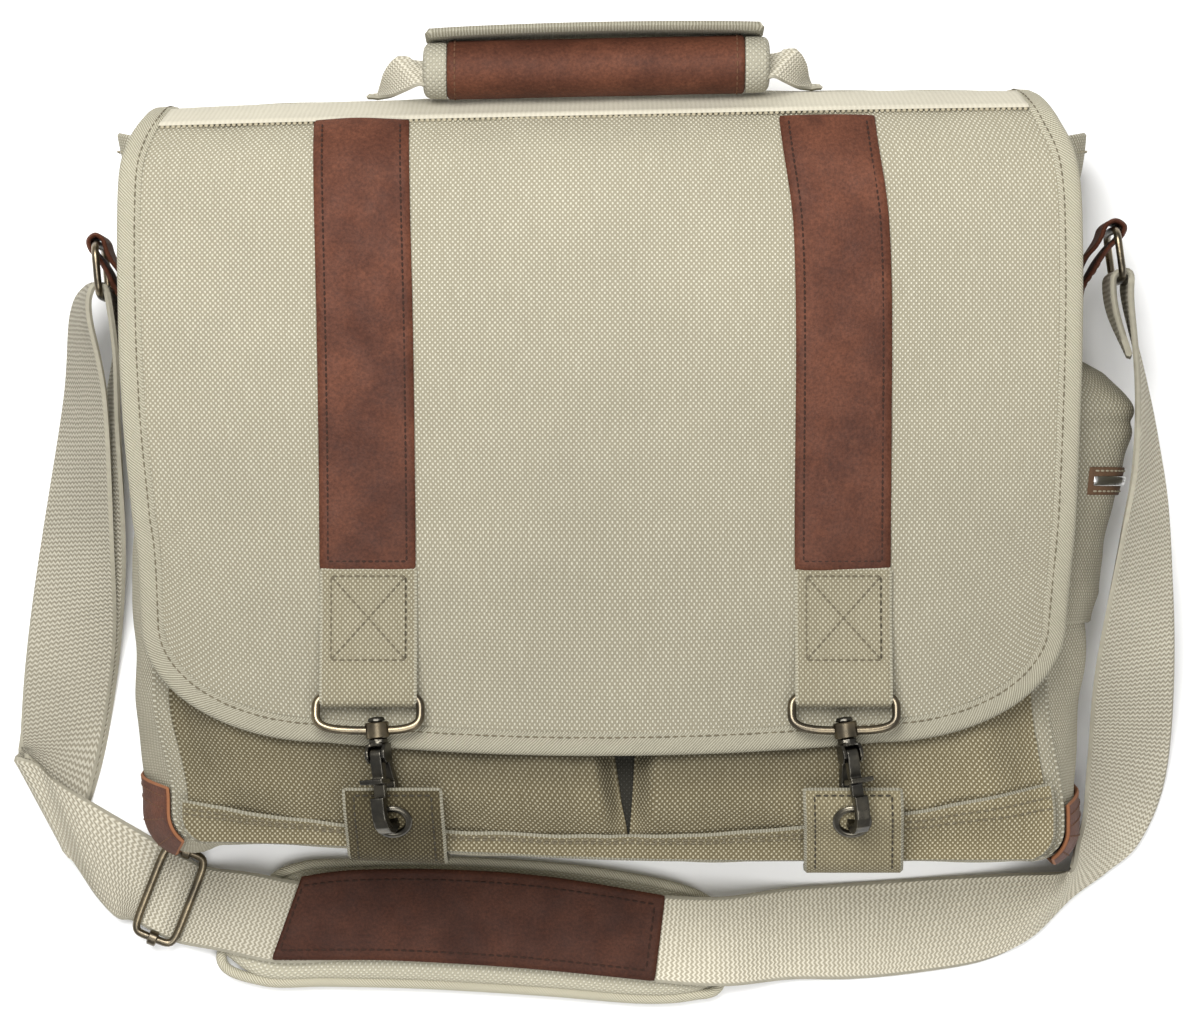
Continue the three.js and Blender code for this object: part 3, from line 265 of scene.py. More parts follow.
def spread(points, axis):  # mean running length along one way of a grid
    step = np.linalg.norm(np.diff(points, axis=axis), axis=-1).mean(axis=1 - axis)
    return np.concatenate([[0], np.cumsum(step)])


def borderOf(rows, columns):
    loop = [(i, 0) for i in range(rows - 1)] + [(rows - 1, j) for j in range(columns - 1)]
    loop += [(i, columns - 1) for i in range(rows - 1, 0, -1)] + [(0, j) for j in range(columns - 1, 0, -1)]
    return np.array(loop)


# A sheet of cloth, webbing or leather about a grid of middle points, with a rounded rim.
def makeSheet(name, points, thick, material, rim=None,
              normals=None, swell=None, weave=None, node=None):
    rows, columns = points.shape[:2]
    normal = normalsOf(points) if normals is None else normals
    if swell is not None:
        points = points + normal * np.broadcast_to(swell, (rows, columns))[..., None]
        normal = normalsOf(points) if normals is None else normals
    lengthU, lengthV = spread(points, 0), spread(points, 1)
    half = np.broadcast_to(thick, (rows, columns))[..., None] / 2
    upper, lower = points + normal * half, points - normal * half
    border = borderOf(rows, columns)
    at = border[:, 0] * columns + border[:, 1]
    alongU, alongV = np.gradient(points, axis=0), np.gradient(points, axis=1)
    outward = np.zeros((len(border), 3))
    for k, (i, j) in enumerate(border):
        for place, last, step in ((i, rows - 1, alongU), (j, columns - 1, alongV)):
            if place in (0, last):
                outward[k] += unit(step[i, j]) * (1 if place == last else -1)
    rimPoints = points.reshape(-1, 3)[at] + unit(outward) * half.reshape(-1, 1)[at]
    count = rows * columns
    verts = np.concatenate([upper.reshape(-1, 3), lower.reshape(-1, 3), rimPoints])
    uv = np.stack(np.broadcast_arrays(lengthU[:, None], lengthV), -1) if weave is None else weave
    uv = uv.reshape(-1, 2)
    uv = np.concatenate([uv, uv, uv[at]])
    i, j = np.meshgrid(np.arange(rows - 1), np.arange(columns - 1), indexing="ij")
    a = (i * columns + j).ravel()
    quads = np.stack([a, a + columns, a + columns + 1, a + 1], 1)
    after = np.roll(at, -1)
    ring = 2 * count + np.arange(len(at))
    ringAfter = np.roll(ring, -1)
    strips = [[after, at, ring, ringAfter], [ringAfter, ring, at + count, after + count]]
    strips = np.concatenate([np.stack(strip, 1) for strip in strips])
    faces = np.concatenate([quads, quads[:, ::-1] + count, strips])
    piece = newObject(name, verts, faces, material, uv, len(strips), rim)
    settle(piece, node)
    return piece


def skinFaces(count, around, closed=False):  # over rings, with caps at the ends, or round into itself
    i, j = np.meshgrid(np.arange(count if closed else count - 1), np.arange(around), indexing="ij")
    here, after = i * around, (i + 1) % count * around
    beside = (j + 1) % around
    faces = np.stack([here + j, here + beside, after + beside, after + j], -1).reshape(-1, 4).tolist()
    if not closed:
        faces += [list(range(around))[::-1], list(range((count - 1) * around, count * around))]
    return faces


def makeLoft(name, rings, material, slot="canvas", closed=False, smoothAngle=50, node=None):
    count, around = rings.shape[:2]
    width = np.linalg.norm(rings[count // 2, 1] - rings[count // 2, 0]) * np.arange(around)
    uv = np.stack(np.broadcast_arrays(width, runLength(rings.mean(axis=1))[:, None]), -1).reshape(-1, 2)
    faces = skinFaces(count, around, closed)
    piece = newObject(name, rings.reshape(-1, 3), faces, material, uv, smoothAngle=smoothAngle)
    return settle(piece, node)


def sectionsAlong(path, radius, closed=True, upward=(0, 0, 1)):  # rings of a wire along a path
    tangent = unit(np.roll(path, -1, 0) - np.roll(path, 1, 0) if closed else np.gradient(path, axis=0))
    sideways = unit(np.cross(tangent, upward))
    up = np.cross(sideways, tangent)
    angle = circle(14)[None, :, None]
    return path[:, None] + (sideways[:, None] * np.cos(angle) + up[:, None] * np.sin(angle)) * radius


def smoothPath(points, count, closed=False):  # even points on a curve through some points
    points = np.asarray(points, float)
    first, last = 0, len(points) - 1
    if closed:
        points = np.concatenate([points[-2:], points, points[:3]])
        first, last = 2, len(points) - 3
    fine = np.linspace(first, last, 40 * len(points))
    dense = np.stack([curveAt(points[:, k], fine) for k in range(points.shape[1])], 1)
    length = runLength(dense)
    even = along(dense, length, np.linspace(0, length[-1], count + 1 if closed else count))
    return even[:-1] if closed else even


def stitch(kind, path, normals, pitch=3.6, size=1.0):  # notes a row of stitches along a path
    threads.append((kind, path, np.broadcast_to(normals, path.shape), pitch, size))


# Materials. A wire is a shader socket that Python arithmetic works on.
class Wire:
    def __init__(self, tree, socket):
        self.tree, self.socket = tree, socket

    def maths(self, operation, *values):
        return makeNode(self.tree, "ShaderNodeMath", {"operation": operation}, dict(enumerate(values)))

    def __add__(self, other):
        return self.maths("ADD", self, other)

    def __sub__(self, other):
        return self.maths("SUBTRACT", self, other)

    def __rsub__(self, other):
        return self.maths("SUBTRACT", other, self)

    def __mul__(self, other):
        return self.maths("MULTIPLY", self, other)

    def __truediv__(self, other):
        return self.maths("DIVIDE", self, other)

    def __rtruediv__(self, other):
        return self.maths("DIVIDE", other, self)

    __radd__ = __add__
    __rmul__ = __mul__

    def wave(self):  # 0 to 1, once for each unit
        return self.maths("COSINE", self * (2 * pi)) * 0.5 + 0.5

    def zigzag(self):  # 0 to 1 and back, once for each unit
        return self.maths("PINGPONG", self * 2, 1)

    def between(self, low, high):  # smooth step from 0 at low to 1 at high
        inputs = {"Value": self, "From Min": low, "From Max": high}
        return makeNode(self.tree, "ShaderNodeMapRange", {"interpolation_type": "SMOOTHSTEP"}, inputs)


def makeNode(tree, kind, settings=None, inputs=None, output=0):
    node = tree.nodes.new(kind)
    for name, value in (settings or {}).items():
        setattr(node, name, value)
    for name, value in (inputs or {}).items():
        if isinstance(value, Wire):
            tree.links.new(value.socket, node.inputs[name])
        else:
            node.inputs[name].default_value = value
    return Wire(tree, node.outputs[output])


class Surface:  # one material and what its patterns read
    def __init__(self, name):
        self.material = bpy.data.materials.new(name)
        self.material.use_nodes = True
        self.tree = self.material.node_tree
        self.shader = self.tree.nodes["Principled BSDF"]
        self.place = makeNode(self.tree, "ShaderNodeTexCoord", output=3)
        weave = makeNode(self.tree, "ShaderNodeUVMap", {"uv_map": "weave"})
        self.u, self.v = self.planeOf(weave)

    def planeOf(self, place):  # its first two axes, in mm
        return (makeNode(self.tree, "ShaderNodeSeparateXYZ", None, {0: place}, axis) / mm for axis in (0, 1))

    def noise(self, size, detail=2, rough=0.5):  # 0 to 1, with spots of a size in mm
        inputs = {"Vector": self.place, "Scale": 1 / (size * mm), "Detail": detail, "Roughness": rough}
        return makeNode(self.tree, "ShaderNodeTexNoise", None, inputs)

    def threadNoise(self, along, across):  # noise drawn out along the weave, sizes in mm
        where = makeNode(self.tree, "ShaderNodeCombineXYZ", None, {0: self.u / across, 1: self.v / along})
        return makeNode(self.tree, "ShaderNodeTexNoise", None, {"Vector": where, "Scale": 1.0, "Detail": 2})

    def cells(self, size):
        return makeNode(
            self.tree, "ShaderNodeTexVoronoi", None, {"Vector": self.place, "Scale": 1 / (size * mm)},
        )

    def mixed(self, share, first, second, blend="MIX"):
        colours = [colour if isinstance(colour, Wire) else (*colour, 1) for colour in (first, second)]
        settings = {"data_type": "RGBA", "blend_type": blend}
        return makeNode(self.tree, "ShaderNodeMix", settings, {0: share, 6: colours[0], 7: colours[1]}, 2)

    def shadedBy(self, colour, shade, shaded=None):  # a colour times a grey and a function of the place
        if shaded:
            shade = shade * shaded(*self.planeOf(self.place))
        grey = makeNode(self.tree, "ShaderNodeCombineColor", None, {0: shade, 1: shade, 2: shade})
        return self.mixed(1.0, colour, grey, "MULTIPLY")

    def finish(self, colour, rough, height=None, depth=0.3, metal=0.0, strength=1.0, shine=0.25):
        inputs = {"Base Color": colour, "Roughness": rough, "Metallic": metal, "Specular IOR Level": shine}
        for name, value in inputs.items():
            if isinstance(value, Wire):
                self.tree.links.new(value.socket, self.shader.inputs[name])
            else:
                self.shader.inputs[name].default_value = (*value, 1) if isinstance(value, tuple) else value
        if height:
            inputs = {"Height": height, "Distance": depth * mm, "Strength": strength}
            bump = makeNode(self.tree, "ShaderNodeBump", None, inputs)
            self.tree.links.new(bump.socket, self.shader.inputs["Normal"])
        return self.material


def tinted(colour, tint):  # a share of a colour, one number or one for each channel
    return tuple(float(channel) for channel in np.multiply(colour, tint))


canvasLook = {
    "light": (0.49, 0.466, 0.37), "dark": (0.235, 0.212, 0.15), "across": 2.1, "along": 2.4,
    "dot": (0.42, 0.92), "wear": 0.10, "wearSize": 70, "depth": 0.45, "rough": 0.9,
}


def canvasMaterial(name, tint=1.0, shaded=None, contrast=1.0):
    look = canvasLook
    dark = mix(np.array(look["light"]), np.array(look["dark"]), contrast)
    cloth = Surface(name)
    u, v = cloth.u + (cloth.noise(5) - 0.5) * 0.5, cloth.v + (cloth.noise(6) - 0.5) * 0.5
    dots = (u / look["across"]).wave() * 2 - 1
    dots = dots * ((v / look["along"]).wave() * 2 - 1) * 0.5 + 0.5
    yarn = cloth.threadNoise(14, 1.1) * 0.5 + cloth.noise(0.7, 3) * 0.5
    share = (dots + (yarn - 0.5) * 0.55).between(*look["dot"])
    colour = cloth.mixed(share, tinted(dark, tint), tinted(look["light"], tint))
    shade = cloth.noise(look["wearSize"], 4, 0.6) * look["wear"] * 2 + (1 - look["wear"])
    colour = cloth.shadedBy(colour, shade, shaded)
    height = share * 0.8 + yarn * 0.5
    return cloth.finish(colour, look["rough"], height, look["depth"])


webbingLook = {
    "light": (0.54, 0.505, 0.405), "dark": (0.27, 0.242, 0.175), "rib": 2.0, "column": 2.3, "slant": 0.5,
    "depth": 0.45, "rough": 0.92,
}


def webbingMaterial(name, tint=1.0, straight=False, flat=0.0, shaded=None):
    look = webbingLook
    cloth = Surface(name)
    column = (cloth.u / look["column"]).zigzag()
    slant = 0.0 if straight else look["slant"]
    ribs = ((cloth.v + (cloth.noise(6) - 0.5) * 1.2) / look["rib"] + column * slant).wave()
    fine = cloth.noise(0.6, 3)
    share = (ribs * 0.75 + (fine - 0.5) * 0.55 + (column - 0.5) * 0.12 + 0.12).between(0.15, 0.75)
    dark = mix(np.array(look["dark"]), np.array(look["light"]), flat)
    colour = cloth.mixed(share, tinted(dark, tint), tinted(look["light"], tint))
    colour = cloth.shadedBy(colour, cloth.noise(50, 3) * 0.3 + 0.85, shaded)
    return cloth.finish(colour, look["rough"], ribs * (1 - flat) + fine * 0.4, look["depth"])


twillLook = {
    "light": (0.48, 0.452, 0.35), "dark": (0.28, 0.255, 0.18), "pitch": 1.3, "depth": 0.3, "rough": 0.9,
}


def twillMaterial(name, tint=1.0, shaded=None):
    look = twillLook
    cloth = Surface(name)
    lines = ((cloth.u + cloth.v + (cloth.noise(4) - 0.5) * 0.8) / look["pitch"]).wave()
    fine = cloth.noise(0.5, 3)
    share = (lines * 0.8 + (fine - 0.5) * 0.6 + 0.1).between(0.1, 0.8)
    colour = cloth.mixed(share, tinted(look["dark"], tint), tinted(look["light"], tint))
    if shaded:
        colour = cloth.shadedBy(colour, 1.0, shaded)
    return cloth.finish(colour, look["rough"], lines + fine * 0.5, look["depth"])


leatherLook = {
    "mid": (0.092, 0.032, 0.017), "dark": (0.056, 0.019, 0.0105), "pale": (0.155, 0.06, 0.032), "rough": 0.62,
    "depth": 0.22, "shine": 0.14,
}


def leatherMaterial(name, tint=1.0, pale=1.0, shaded=None):
    look = leatherLook
    hide = Surface(name)
    patch = hide.noise(26, 5, 0.62).between(0.32, 0.68)
    colour = hide.mixed(patch, tinted(look["dark"], tint), tinted(look["mid"], tint))
    rubbed = hide.noise(11, 6, 0.7).between(0.56, 0.78) * (0.3 * pale)
    colour = hide.mixed(rubbed, colour, tinted(look["pale"], tint))
    speckle = hide.noise(1.3, 4, 0.7).between(0.25, 0.75) * 0.6 + 0.7
    colour = hide.shadedBy(colour, speckle, shaded)
    grain = hide.cells(1.0) * 0.6 + hide.noise(0.5, 3) * 0.5 + hide.noise(3.5, 4) * 0.8
    rough = look["rough"] + (hide.noise(9, 4) - 0.5) * 0.3
    return hide.finish(colour, rough, grain, look["depth"], strength=0.7, shine=look["shine"])


def plainMaterial(name, colour, rough, grainSize=0.8, depth=0.15, metal=0.0, vary=0.3):
    stuff = Surface(name)
    share = stuff.noise(grainSize * 6, 4) * vary * 2
    mixed = stuff.mixed(share, colour, tinted(colour, 0.45))
    return stuff.finish(mixed, rough, stuff.noise(grainSize, 3), depth, metal)


brassLook = {"dark": (0.10, 0.085, 0.062), "bright": (0.34, 0.27, 0.165), "rough": 0.3}


def brassMaterial(name, tint=1.0):
    look = brassLook
    metal = Surface(name)
    share = metal.noise(14, 4, 0.6).between(0.35, 0.75) * 0.6
    colour = metal.mixed(share, tinted(look["dark"], tint), tinted(look["bright"], tint))
    rough = look["rough"] + (metal.noise(2.5, 4) - 0.5) * 0.16
    return metal.finish(colour, rough, metal.noise(0.8, 3), 0.06, 1.0, 0.6)


# Painted light and shade, which some materials below lay into their colours
paintedLightLook = {
    "gapX": 12.0, "gapReach": (12.0, 22.0), "gapRise": (-156.0, -150.0), "gap": 0.92,
    "under": 0.42, "underRise": (-144.0, -112.0), "outer": 0.26, "outerReach": (80.0, 150.0),
    "right": 0.3, "rightReach": (30.0, 170.0),
    "flap": (0.82, (0.25, -115.0, 150.0)), "leather": (0.8, (0.34, -60.0, 150.0)),
    "strap": (1.08, (-0.32, -172.0, -128.0), (0.12, -80.0, 20.0)),
}


def gapShade(x, y):  # painted shade: the front panel is drawn dark where it shows between the pockets
    near = 1 - x.maths("ABSOLUTE", x - paintedLightLook["gapX"]).between(*paintedLightLook["gapReach"])
    return 1 - near * y.between(*paintedLightLook["gapRise"]) * paintedLightLook["gap"]


def pocketShade(x, y):  # painted shade and light: the pockets and the base band are drawn darker towards the flap over them, and paler at their outer ends and towards the right
    outer = x.maths("ABSOLUTE", x).between(*paintedLightLook["outerReach"]) * paintedLightLook["outer"]
    under = 1 - y.between(*paintedLightLook["underRise"]) * (paintedLightLook["under"] - outer)
    return under * (x.between(*paintedLightLook["rightReach"]) * paintedLightLook["right"] + 1)


def paintedLightAlong(name):  # painted light and shade: the flap and its straps are drawn paler towards their tops, the right strap darker up the side
    base, *steps = paintedLightLook[name]

    def shaded(x, y):
        return base + sum(y.between(low, high) * rise for rise, low, high in steps)

    return shaded


flapPaintedLight = paintedLightAlong("flap")
canvas = canvasMaterial("canvas cloth")
# the front panel's canvas is dimmed all over and darkened in the gap between the pockets, as painted shade
canvasFrontPanelPaintedShade = canvasMaterial("canvas cloth, front panel, painted shade", 0.8, gapShade)
# the flap's canvas is drawn paler towards its top, as painted light
canvasFlap = canvasMaterial("canvas cloth, flap", 1.0, flapPaintedLight)
# a darker copy of the canvas with stronger weave contrast, painted shade for the pockets and the base band
canvasPocketsPaintedShade = canvasMaterial("canvas cloth, pockets", (0.68, 0.646, 0.565), pocketShade, 1.35)
# a lighter copy of the canvas for the shoulder pad, as painted light
canvasPad = canvasMaterial("canvas cloth, pad", 1.1, None, 0.7)
canvasGrip = canvasMaterial("canvas cloth, handle", 0.82, None, 0.6)
canvasTab = canvasMaterial("canvas cloth, strap ends", (0.78, 0.762, 0.715), None, 1.1)
# the closure tabs are darker copies of the canvas with stronger weave contrast, the left one much darker, as
# painted shade
canvasClosurePaintedShade = {
    "left": canvasMaterial("canvas cloth, left closure", (0.27, 0.244, 0.18), None, 1.4),
    "right": canvasMaterial("canvas cloth, right closure", (0.7, 0.66, 0.56), None, 1.2),
}
webbing = webbingMaterial("webbing", 1.08, False, 0.15)
# lit and shaded copies of the strap's webbing: darker on the left runs, paler low down and darker up the side
# on the right run, as painted light and shade
webbingSidePaintedShade = webbingMaterial("webbing, left side, painted shade", 0.71, False, 0.1)
webbingFoldPaintedShade = webbingMaterial("webbing, left fold, painted shade", 0.92, False, 0.1)
webbingRightPaintedLight = webbingMaterial("webbing, right side", 1.08, False, 0.1, paintedLightAlong("strap"))
bandWebbing = webbingMaterial("top band webbing", 0.84, True, 0.85)
twill = twillMaterial("twill tape", 0.74)
# the flap's binding follows the same painted light, paler towards the top
twillFlap = twillMaterial("twill tape, flap", 0.86, flapPaintedLight)
# a lighter copy of the twill for the pad's binding, as painted light
twillPad = twillMaterial("twill tape, pad", 1.08)
twillEdge = twillMaterial("tab edge", 0.52)
leather = leatherMaterial("leather")
# the flap straps' leather is drawn paler towards the top, as painted light and sheen
leatherStrap = leatherMaterial("strap leather", 1.0, 1.0, paintedLightAlong("leather"))
leatherDark = leatherMaterial("pad leather", 0.62, 0.6)
rawEdge = plainMaterial("raw leather edge", (0.26, 0.105, 0.045), 0.8)
brass = brassMaterial("antique brass")
gunmetal = brassMaterial("darkened brass", (0.5, 0.56, 0.68))
strapEdge = plainMaterial("webbing edge", (0.36, 0.335, 0.26), 0.92, 0.5)
zipTape = plainMaterial("zip tape", (0.14, 0.08, 0.045), 0.9)
zipMetal = plainMaterial("zip teeth", (0.62, 0.62, 0.6), 0.3, metal=1.0, vary=0.15)
threadColours = {
    "tan": (0.125, 0.058, 0.03), "pale": (0.40, 0.355, 0.25), "dim": (0.14, 0.118, 0.076),
    "shade": (0.045, 0.038, 0.026), "dark": (0.036, 0.016, 0.01),
}
print("materials made")

# Body
def panelPlane(top, uSteps, vSteps):
    u, v = grid(uSteps, vSteps)
    y = mix(sizes["bottom"], top, v**1.15)
    return np.broadcast_arrays((2 * u - 1) * seamHalf(y), y)


x, y = panelPlane(sizes["backTop"], 60, 60)
makeSheet("back-panel", leaned(x, y, halfCloth), sizes["canvas"], canvas)
x, y = panelPlane(sizes["frontTop"], 80, 70)
makeSheet("front-panel", leaned(x, y, frontAt(x, y) + halfCloth), sizes["canvas"], canvasFrontPanelPaintedShade)

sides = {"left": -1, "right": 1}
gussetLook = {
    "rumple": 1.1, "rumpleSize": 42, "fold": 1.2, "foldLength": 17, "foldDepth": 21, "foldTurn": 1.3,
    "hem": 7, "hemLift": 1.05,
}
for name, side in sides.items():
    u, v = grid(40, 110)
    run = mix(-sizes["gussetPeak"] * np.sin(pi * u), sideRun - sizes["gap"], v)
    points = wallPoint(side, run, u + 0 * v, 0.0)
    y, z = points[..., 1], points[..., 2]
    rumple = waves(y, z, 11 + side, gussetLook["rumpleSize"]) * gussetLook["rumple"]
    folds = np.sin(y / gussetLook["foldLength"] + gussetLook["foldTurn"] * side + z / gussetLook["foldDepth"])
    swell = (rumple + folds * gussetLook["fold"]) * np.sin(pi * u)
    makeSheet(f"{name}-gusset", points, sizes["canvas"], canvas, swell=swell)
    stitch(
        "pale", wallPoint(side, run[:, :1] + gussetLook["hem"], u, gussetLook["hemLift"])[:, 0], (side, 0, 0),
    )

u, v = grid(30, 170)
run = sideRun + (cornerRun + cornerX) * (1 - np.abs(2 * v - 1))
base = np.where((v < 0.5)[..., None], wallPoint(-1, run, u, 0.0), wallPoint(1, run, u, 0.0))
makeSheet("base-panel", base, sizes["canvas"], canvas, swell=waves(base[..., 0], base[..., 2], 5, 60) * 0.8)

cornerLook = {
    "inner": 19.0, "slant": -9.0, "reach": -7.0, "rows": (3.5, 8.5), "span": (0.02, 0.985),
    "stitchSpan": (0.05, 0.96),
}
for name, side in sides.items():
    u, v = grid(44, 60)
    start = sideRun - cornerLook["inner"] - cornerLook["slant"] * u
    end = sideRun + cornerRun + cornerLook["reach"]
    lift = halfCloth + 2 * sizes["seat"] + sizes["leather"] / 2
    points = wallPoint(side, mix(start, end, v), mix(*cornerLook["span"], u), lift)
    makeSheet(f"{name}-corner-leather", points, sizes["leather"], leather, rim=rawEdge)
    for inset in cornerLook["rows"]:
        for row in (start + inset, 0 * start + end - inset):
            share = mix(*cornerLook["stitchSpan"], u)
            path = wallPoint(side, row, share, lift + sizes["leather"] / 2)[:, 0]
            stitch("tan", path, path - wallPoint(side, row, share, lift - 5)[:, 0], 3.2)

# Front pockets and the turned-up edge of the base
pocketLook = {
    "bottom": -150.0, "top": -30.0, "full": 11.0, "outerRun": 26, "innerRun": 9, "lowRun": 24, "slack": 0.45,
    "slackFrom": -100, "slackRun": 70, "swell": 1.3, "swellSize": 34, "fold": 0.8, "foldWidth": 7.5,
    "foldSway": 23, "foldTop": -112, "foldRun": 24,
}
pockets = {
    "left": {"outer": -179.0, "seam": 11.2, "lean": -0.17, "seed": 21},
    "right": {"outer": 179.0, "seam": 12.2, "lean": 0.08, "seed": 22},
}


def pocketInner(pocket, y):  # where the pocket ends at the middle gap
    return pocket["seam"] + pocket["lean"] * (y - pocketLook["bottom"])


def pocketRise(pocket, x, y):
    fromOuter = np.abs(x - pocket["outer"]) / pocketLook["outerRun"]
    fromInner = np.sign(pocket["outer"]) * (x - pocketInner(pocket, y)) / pocketLook["innerRun"]
    slack = 1 - pocketLook["slack"] * ease((y - pocketLook["slackFrom"]) / pocketLook["slackRun"])
    rise = ease(fromOuter) * ease(fromInner) * ease((y - pocketLook["bottom"]) / pocketLook["lowRun"])
    return pocketLook["full"] * slack * rise


for name, pocket in pockets.items():
    u, v = grid(120, 90)
    y = mix(pocketLook["bottom"], pocketLook["top"], v**1.4)
    x = mix(pocket["outer"], pocketInner(pocket, y), 0.5 - 0.5 * np.cos(pi * u))
    y = y + 0 * x
    z = frontAt(x, y) + sizes["canvas"] + sizes["gap"] + pocketRise(pocket, x, y) + halfCloth
    swell = waves(x, y * 0.7, pocket["seed"], pocketLook["swellSize"]) * pocketLook["swell"]
    folds = np.sin(x / pocketLook["foldWidth"] + np.sin(y / pocketLook["foldSway"]) * 2) * pocketLook["fold"]
    swell = swell + folds * ease((pocketLook["foldTop"] - y) / pocketLook["foldRun"])
    swell = swell * np.sin(pi * u) ** 0.5
    makeSheet(f"{name}-pocket", leaned(x, y, z), sizes["canvas"], canvasPocketsPaintedShade, swell=swell)

bandRows = table("x top", (-182, -137), (-110, -145), (12, -144.5), (90, -138.5), (182, -124))
bandLook = {"inset": 0.6, "lift": 2.1, "middle": 12, "stitchColumns": (10, 12)}
u, v = grid(220, 14)
place = placeIn(bandRows, u)
y = mix(sizes["bottom"] + bandLook["inset"], curveAt(bandRows["top"], place), v)
x = curveAt(bandRows["x"], place) * seamHalf(y) / sizes["halfWidth"]
rise = np.where(x < bandLook["middle"], *(pocketRise(pockets[name], x, y) for name in sides))
z = frontAt(x, y) + sizes["canvas"] + sizes["gap"] + rise + sizes["canvas"] + bandLook["lift"] + halfCloth
bandPoints = leaned(x, y, z)
bandSwell = np.sin(x / 6 + np.sin(x / 31)) * 0.35 + waves(x, y, 8, 30) * 0.4
makeSheet(
    "base-band", bandPoints, sizes["canvas"], canvasPocketsPaintedShade, weave=bandPoints[..., :2], swell=bandSwell,
    rim=twillEdge,
)
bandTop = bandPoints + normalsOf(bandPoints) * (bandSwell + halfCloth + 0.1)[..., None]
for column in bandLook["stitchColumns"]:
    stitch("dim", bandTop[:, column], (0, -0.2, 1), 3.2)
print("body made")

# Zipped pocket on the right gusset
sidePocketRows = table("y rise", (-62, 0.4), (-50, 7), (-20, 14), (6, 21), (28, 26), (42, 14), (50, 0.4))
creaseLook = {"rise": 2.2, "y": 22, "width": 3.2, "swell": 0.7, "swellSize": 26}
zipLook = {
    "y": -3.0, "tape": 5.5, "tapeThick": 0.8, "tapeSpan": (0.12, 0.88), "teeth": 1.6, "teethThick": 0.9,
    "teethSpan": (0.22, 0.86), "ribs": 36, "rib": (0.35, -0.25), "stitches": 4.3,
}


def sidePocketPoint(y, across, lift):
    rise = heightAt(sidePocketRows, "rise", y) * np.sin(pi * across) ** 0.8
    return wallPoint(1, sizes["gussetTop"] - y, mix(0.1, 0.9, across), halfCloth + sizes["gap"] + rise + lift)


u, v = grid(60, 90)
y = mix(sidePocketRows["y"][0], sidePocketRows["y"][-1], v)
crease = creaseLook["rise"] * np.exp(-((y - creaseLook["y"]) / creaseLook["width"]) ** 2)
swell = (crease - creaseLook["swell"] * waves(y, 60 * u, 31, creaseLook["swellSize"])) * np.sin(pi * u)
makeSheet("side-pocket", sidePocketPoint(y, u, halfCloth), sizes["canvas"], canvas, swell=swell)
u, v = grid(40, 6)
y = zipLook["y"] + (2 * v - 1) * zipLook["tape"]
tapePoints = sidePocketPoint(y, mix(*zipLook["tapeSpan"], u), sizes["canvas"] + 1.0)
makeSheet("side-zip-tape", tapePoints, zipLook["tapeThick"], zipTape)
u, v = grid(zipLook["ribs"], 2)
y = zipLook["y"] + (2 * v - 1) * zipLook["teeth"]
teethPoints = sidePocketPoint(y, mix(*zipLook["teethSpan"], u), sizes["canvas"] + 2.0)
ribs = np.where(np.arange(len(u)) % 2 == 0, *zipLook["rib"])[:, None]
makeSheet("side-zip-teeth", teethPoints, zipLook["teethThick"], zipMetal, swell=ribs)
for offset in (-zipLook["stitches"], zipLook["stitches"]):
    u = np.linspace(0.14, 0.86, 40)
    stitch("pale", sidePocketPoint(zipLook["y"] + offset, u, sizes["canvas"] + 1.5), (1, 0, 0.2), 3.0)

# Flap
flapLook = {"swell": 0.55, "swellSize": 80, "across": 180, "along": 170}


def flapSwell(x, y):  # soft unevenness of the flap, which the pieces sewn on it follow
    return flapLook["swell"] * waves(x, y, 41, flapLook["swellSize"]) + 0.25 * waves(x, y, 42, 24)


fine = np.linspace(0, 1, 1200)
lengths = runLength(flapPoint(0.5, fine))
flapV = np.interp(np.linspace(0, lengths[-1], flapLook["along"] + 1), lengths, fine)[None, :]
flapU = np.linspace(0, 1, flapLook["across"] + 1)[:, None]
flapNormals = flapNormal(flapU, flapV)
flapPoints = flapPoint(flapU, flapV)
flapPoints += flapNormals * flapSwell(flapPoints[..., 0], flapPoints[..., 1])[..., None]
makeSheet(
    "flap-cloth", flapPoints, sizes["canvas"], canvasFlap, normals=flapNormals,
    node="flap",
)

# Twill tape folded over the flap's edge
bindingLook = {
    "width": 8.0, "cloth": 1.1, "clear": 0.9, "topRow": 8.0, "ripple": 0.3, "rippleLength": 2.9,
    "stitchAt": 6.3,
}
sideV = flapV[0][flapV[0] <= bindingLook["topRow"] / lastFlapRow]
edgeU = np.linspace(0, 1, 150)[1:-1]
edgePath = np.array([(0, v) for v in sideV[::-1]] + [(u, 0) for u in edgeU] + [(1, v) for v in sideV])
edgeMiddle, edgeNormal = flapPoint(*edgePath.T), flapNormal(*edgePath.T)
edgeMiddle += edgeNormal * flapSwell(edgeMiddle[:, 0], edgeMiddle[:, 1])[:, None]
lengths = runLength(edgeMiddle)
even = np.linspace(0, lengths[-1], 330)
edgeMiddle, edgeNormal = along(edgeMiddle, lengths, even), along(edgeNormal, lengths, even)
inward = unit(np.cross(edgeNormal, np.gradient(edgeMiddle, axis=0)))
clear = halfCloth + bindingLook["clear"]
section = [(bindingLook["width"], clear - 0.35), (4, clear + 0.15), (0.6, clear), (-0.7, 0.8)]
section += [(-0.7, -0.8), (0.6, -clear), (4, -clear), (bindingLook["width"], -clear)]
inset, height = smoothPath(section, 18).T
ripple = bindingLook["ripple"] * np.sin(even / bindingLook["rippleLength"] + np.sin(even / 17))[:, None]
ripple = ripple * np.exp(-((inset - 5) / 3) ** 2) * np.sign(height)
bindingPoints = edgeMiddle[:, None] + inward[:, None] * inset[:, None]
bindingPoints = bindingPoints + edgeNormal[:, None] * (height + ripple)[..., None]
makeSheet("flap-binding", bindingPoints, bindingLook["cloth"], twillFlap)
path = edgeMiddle + inward * bindingLook["stitchAt"] + edgeNormal * (clear + 0.5)
stitch("dim", path, edgeNormal, 3.4, 0.85)

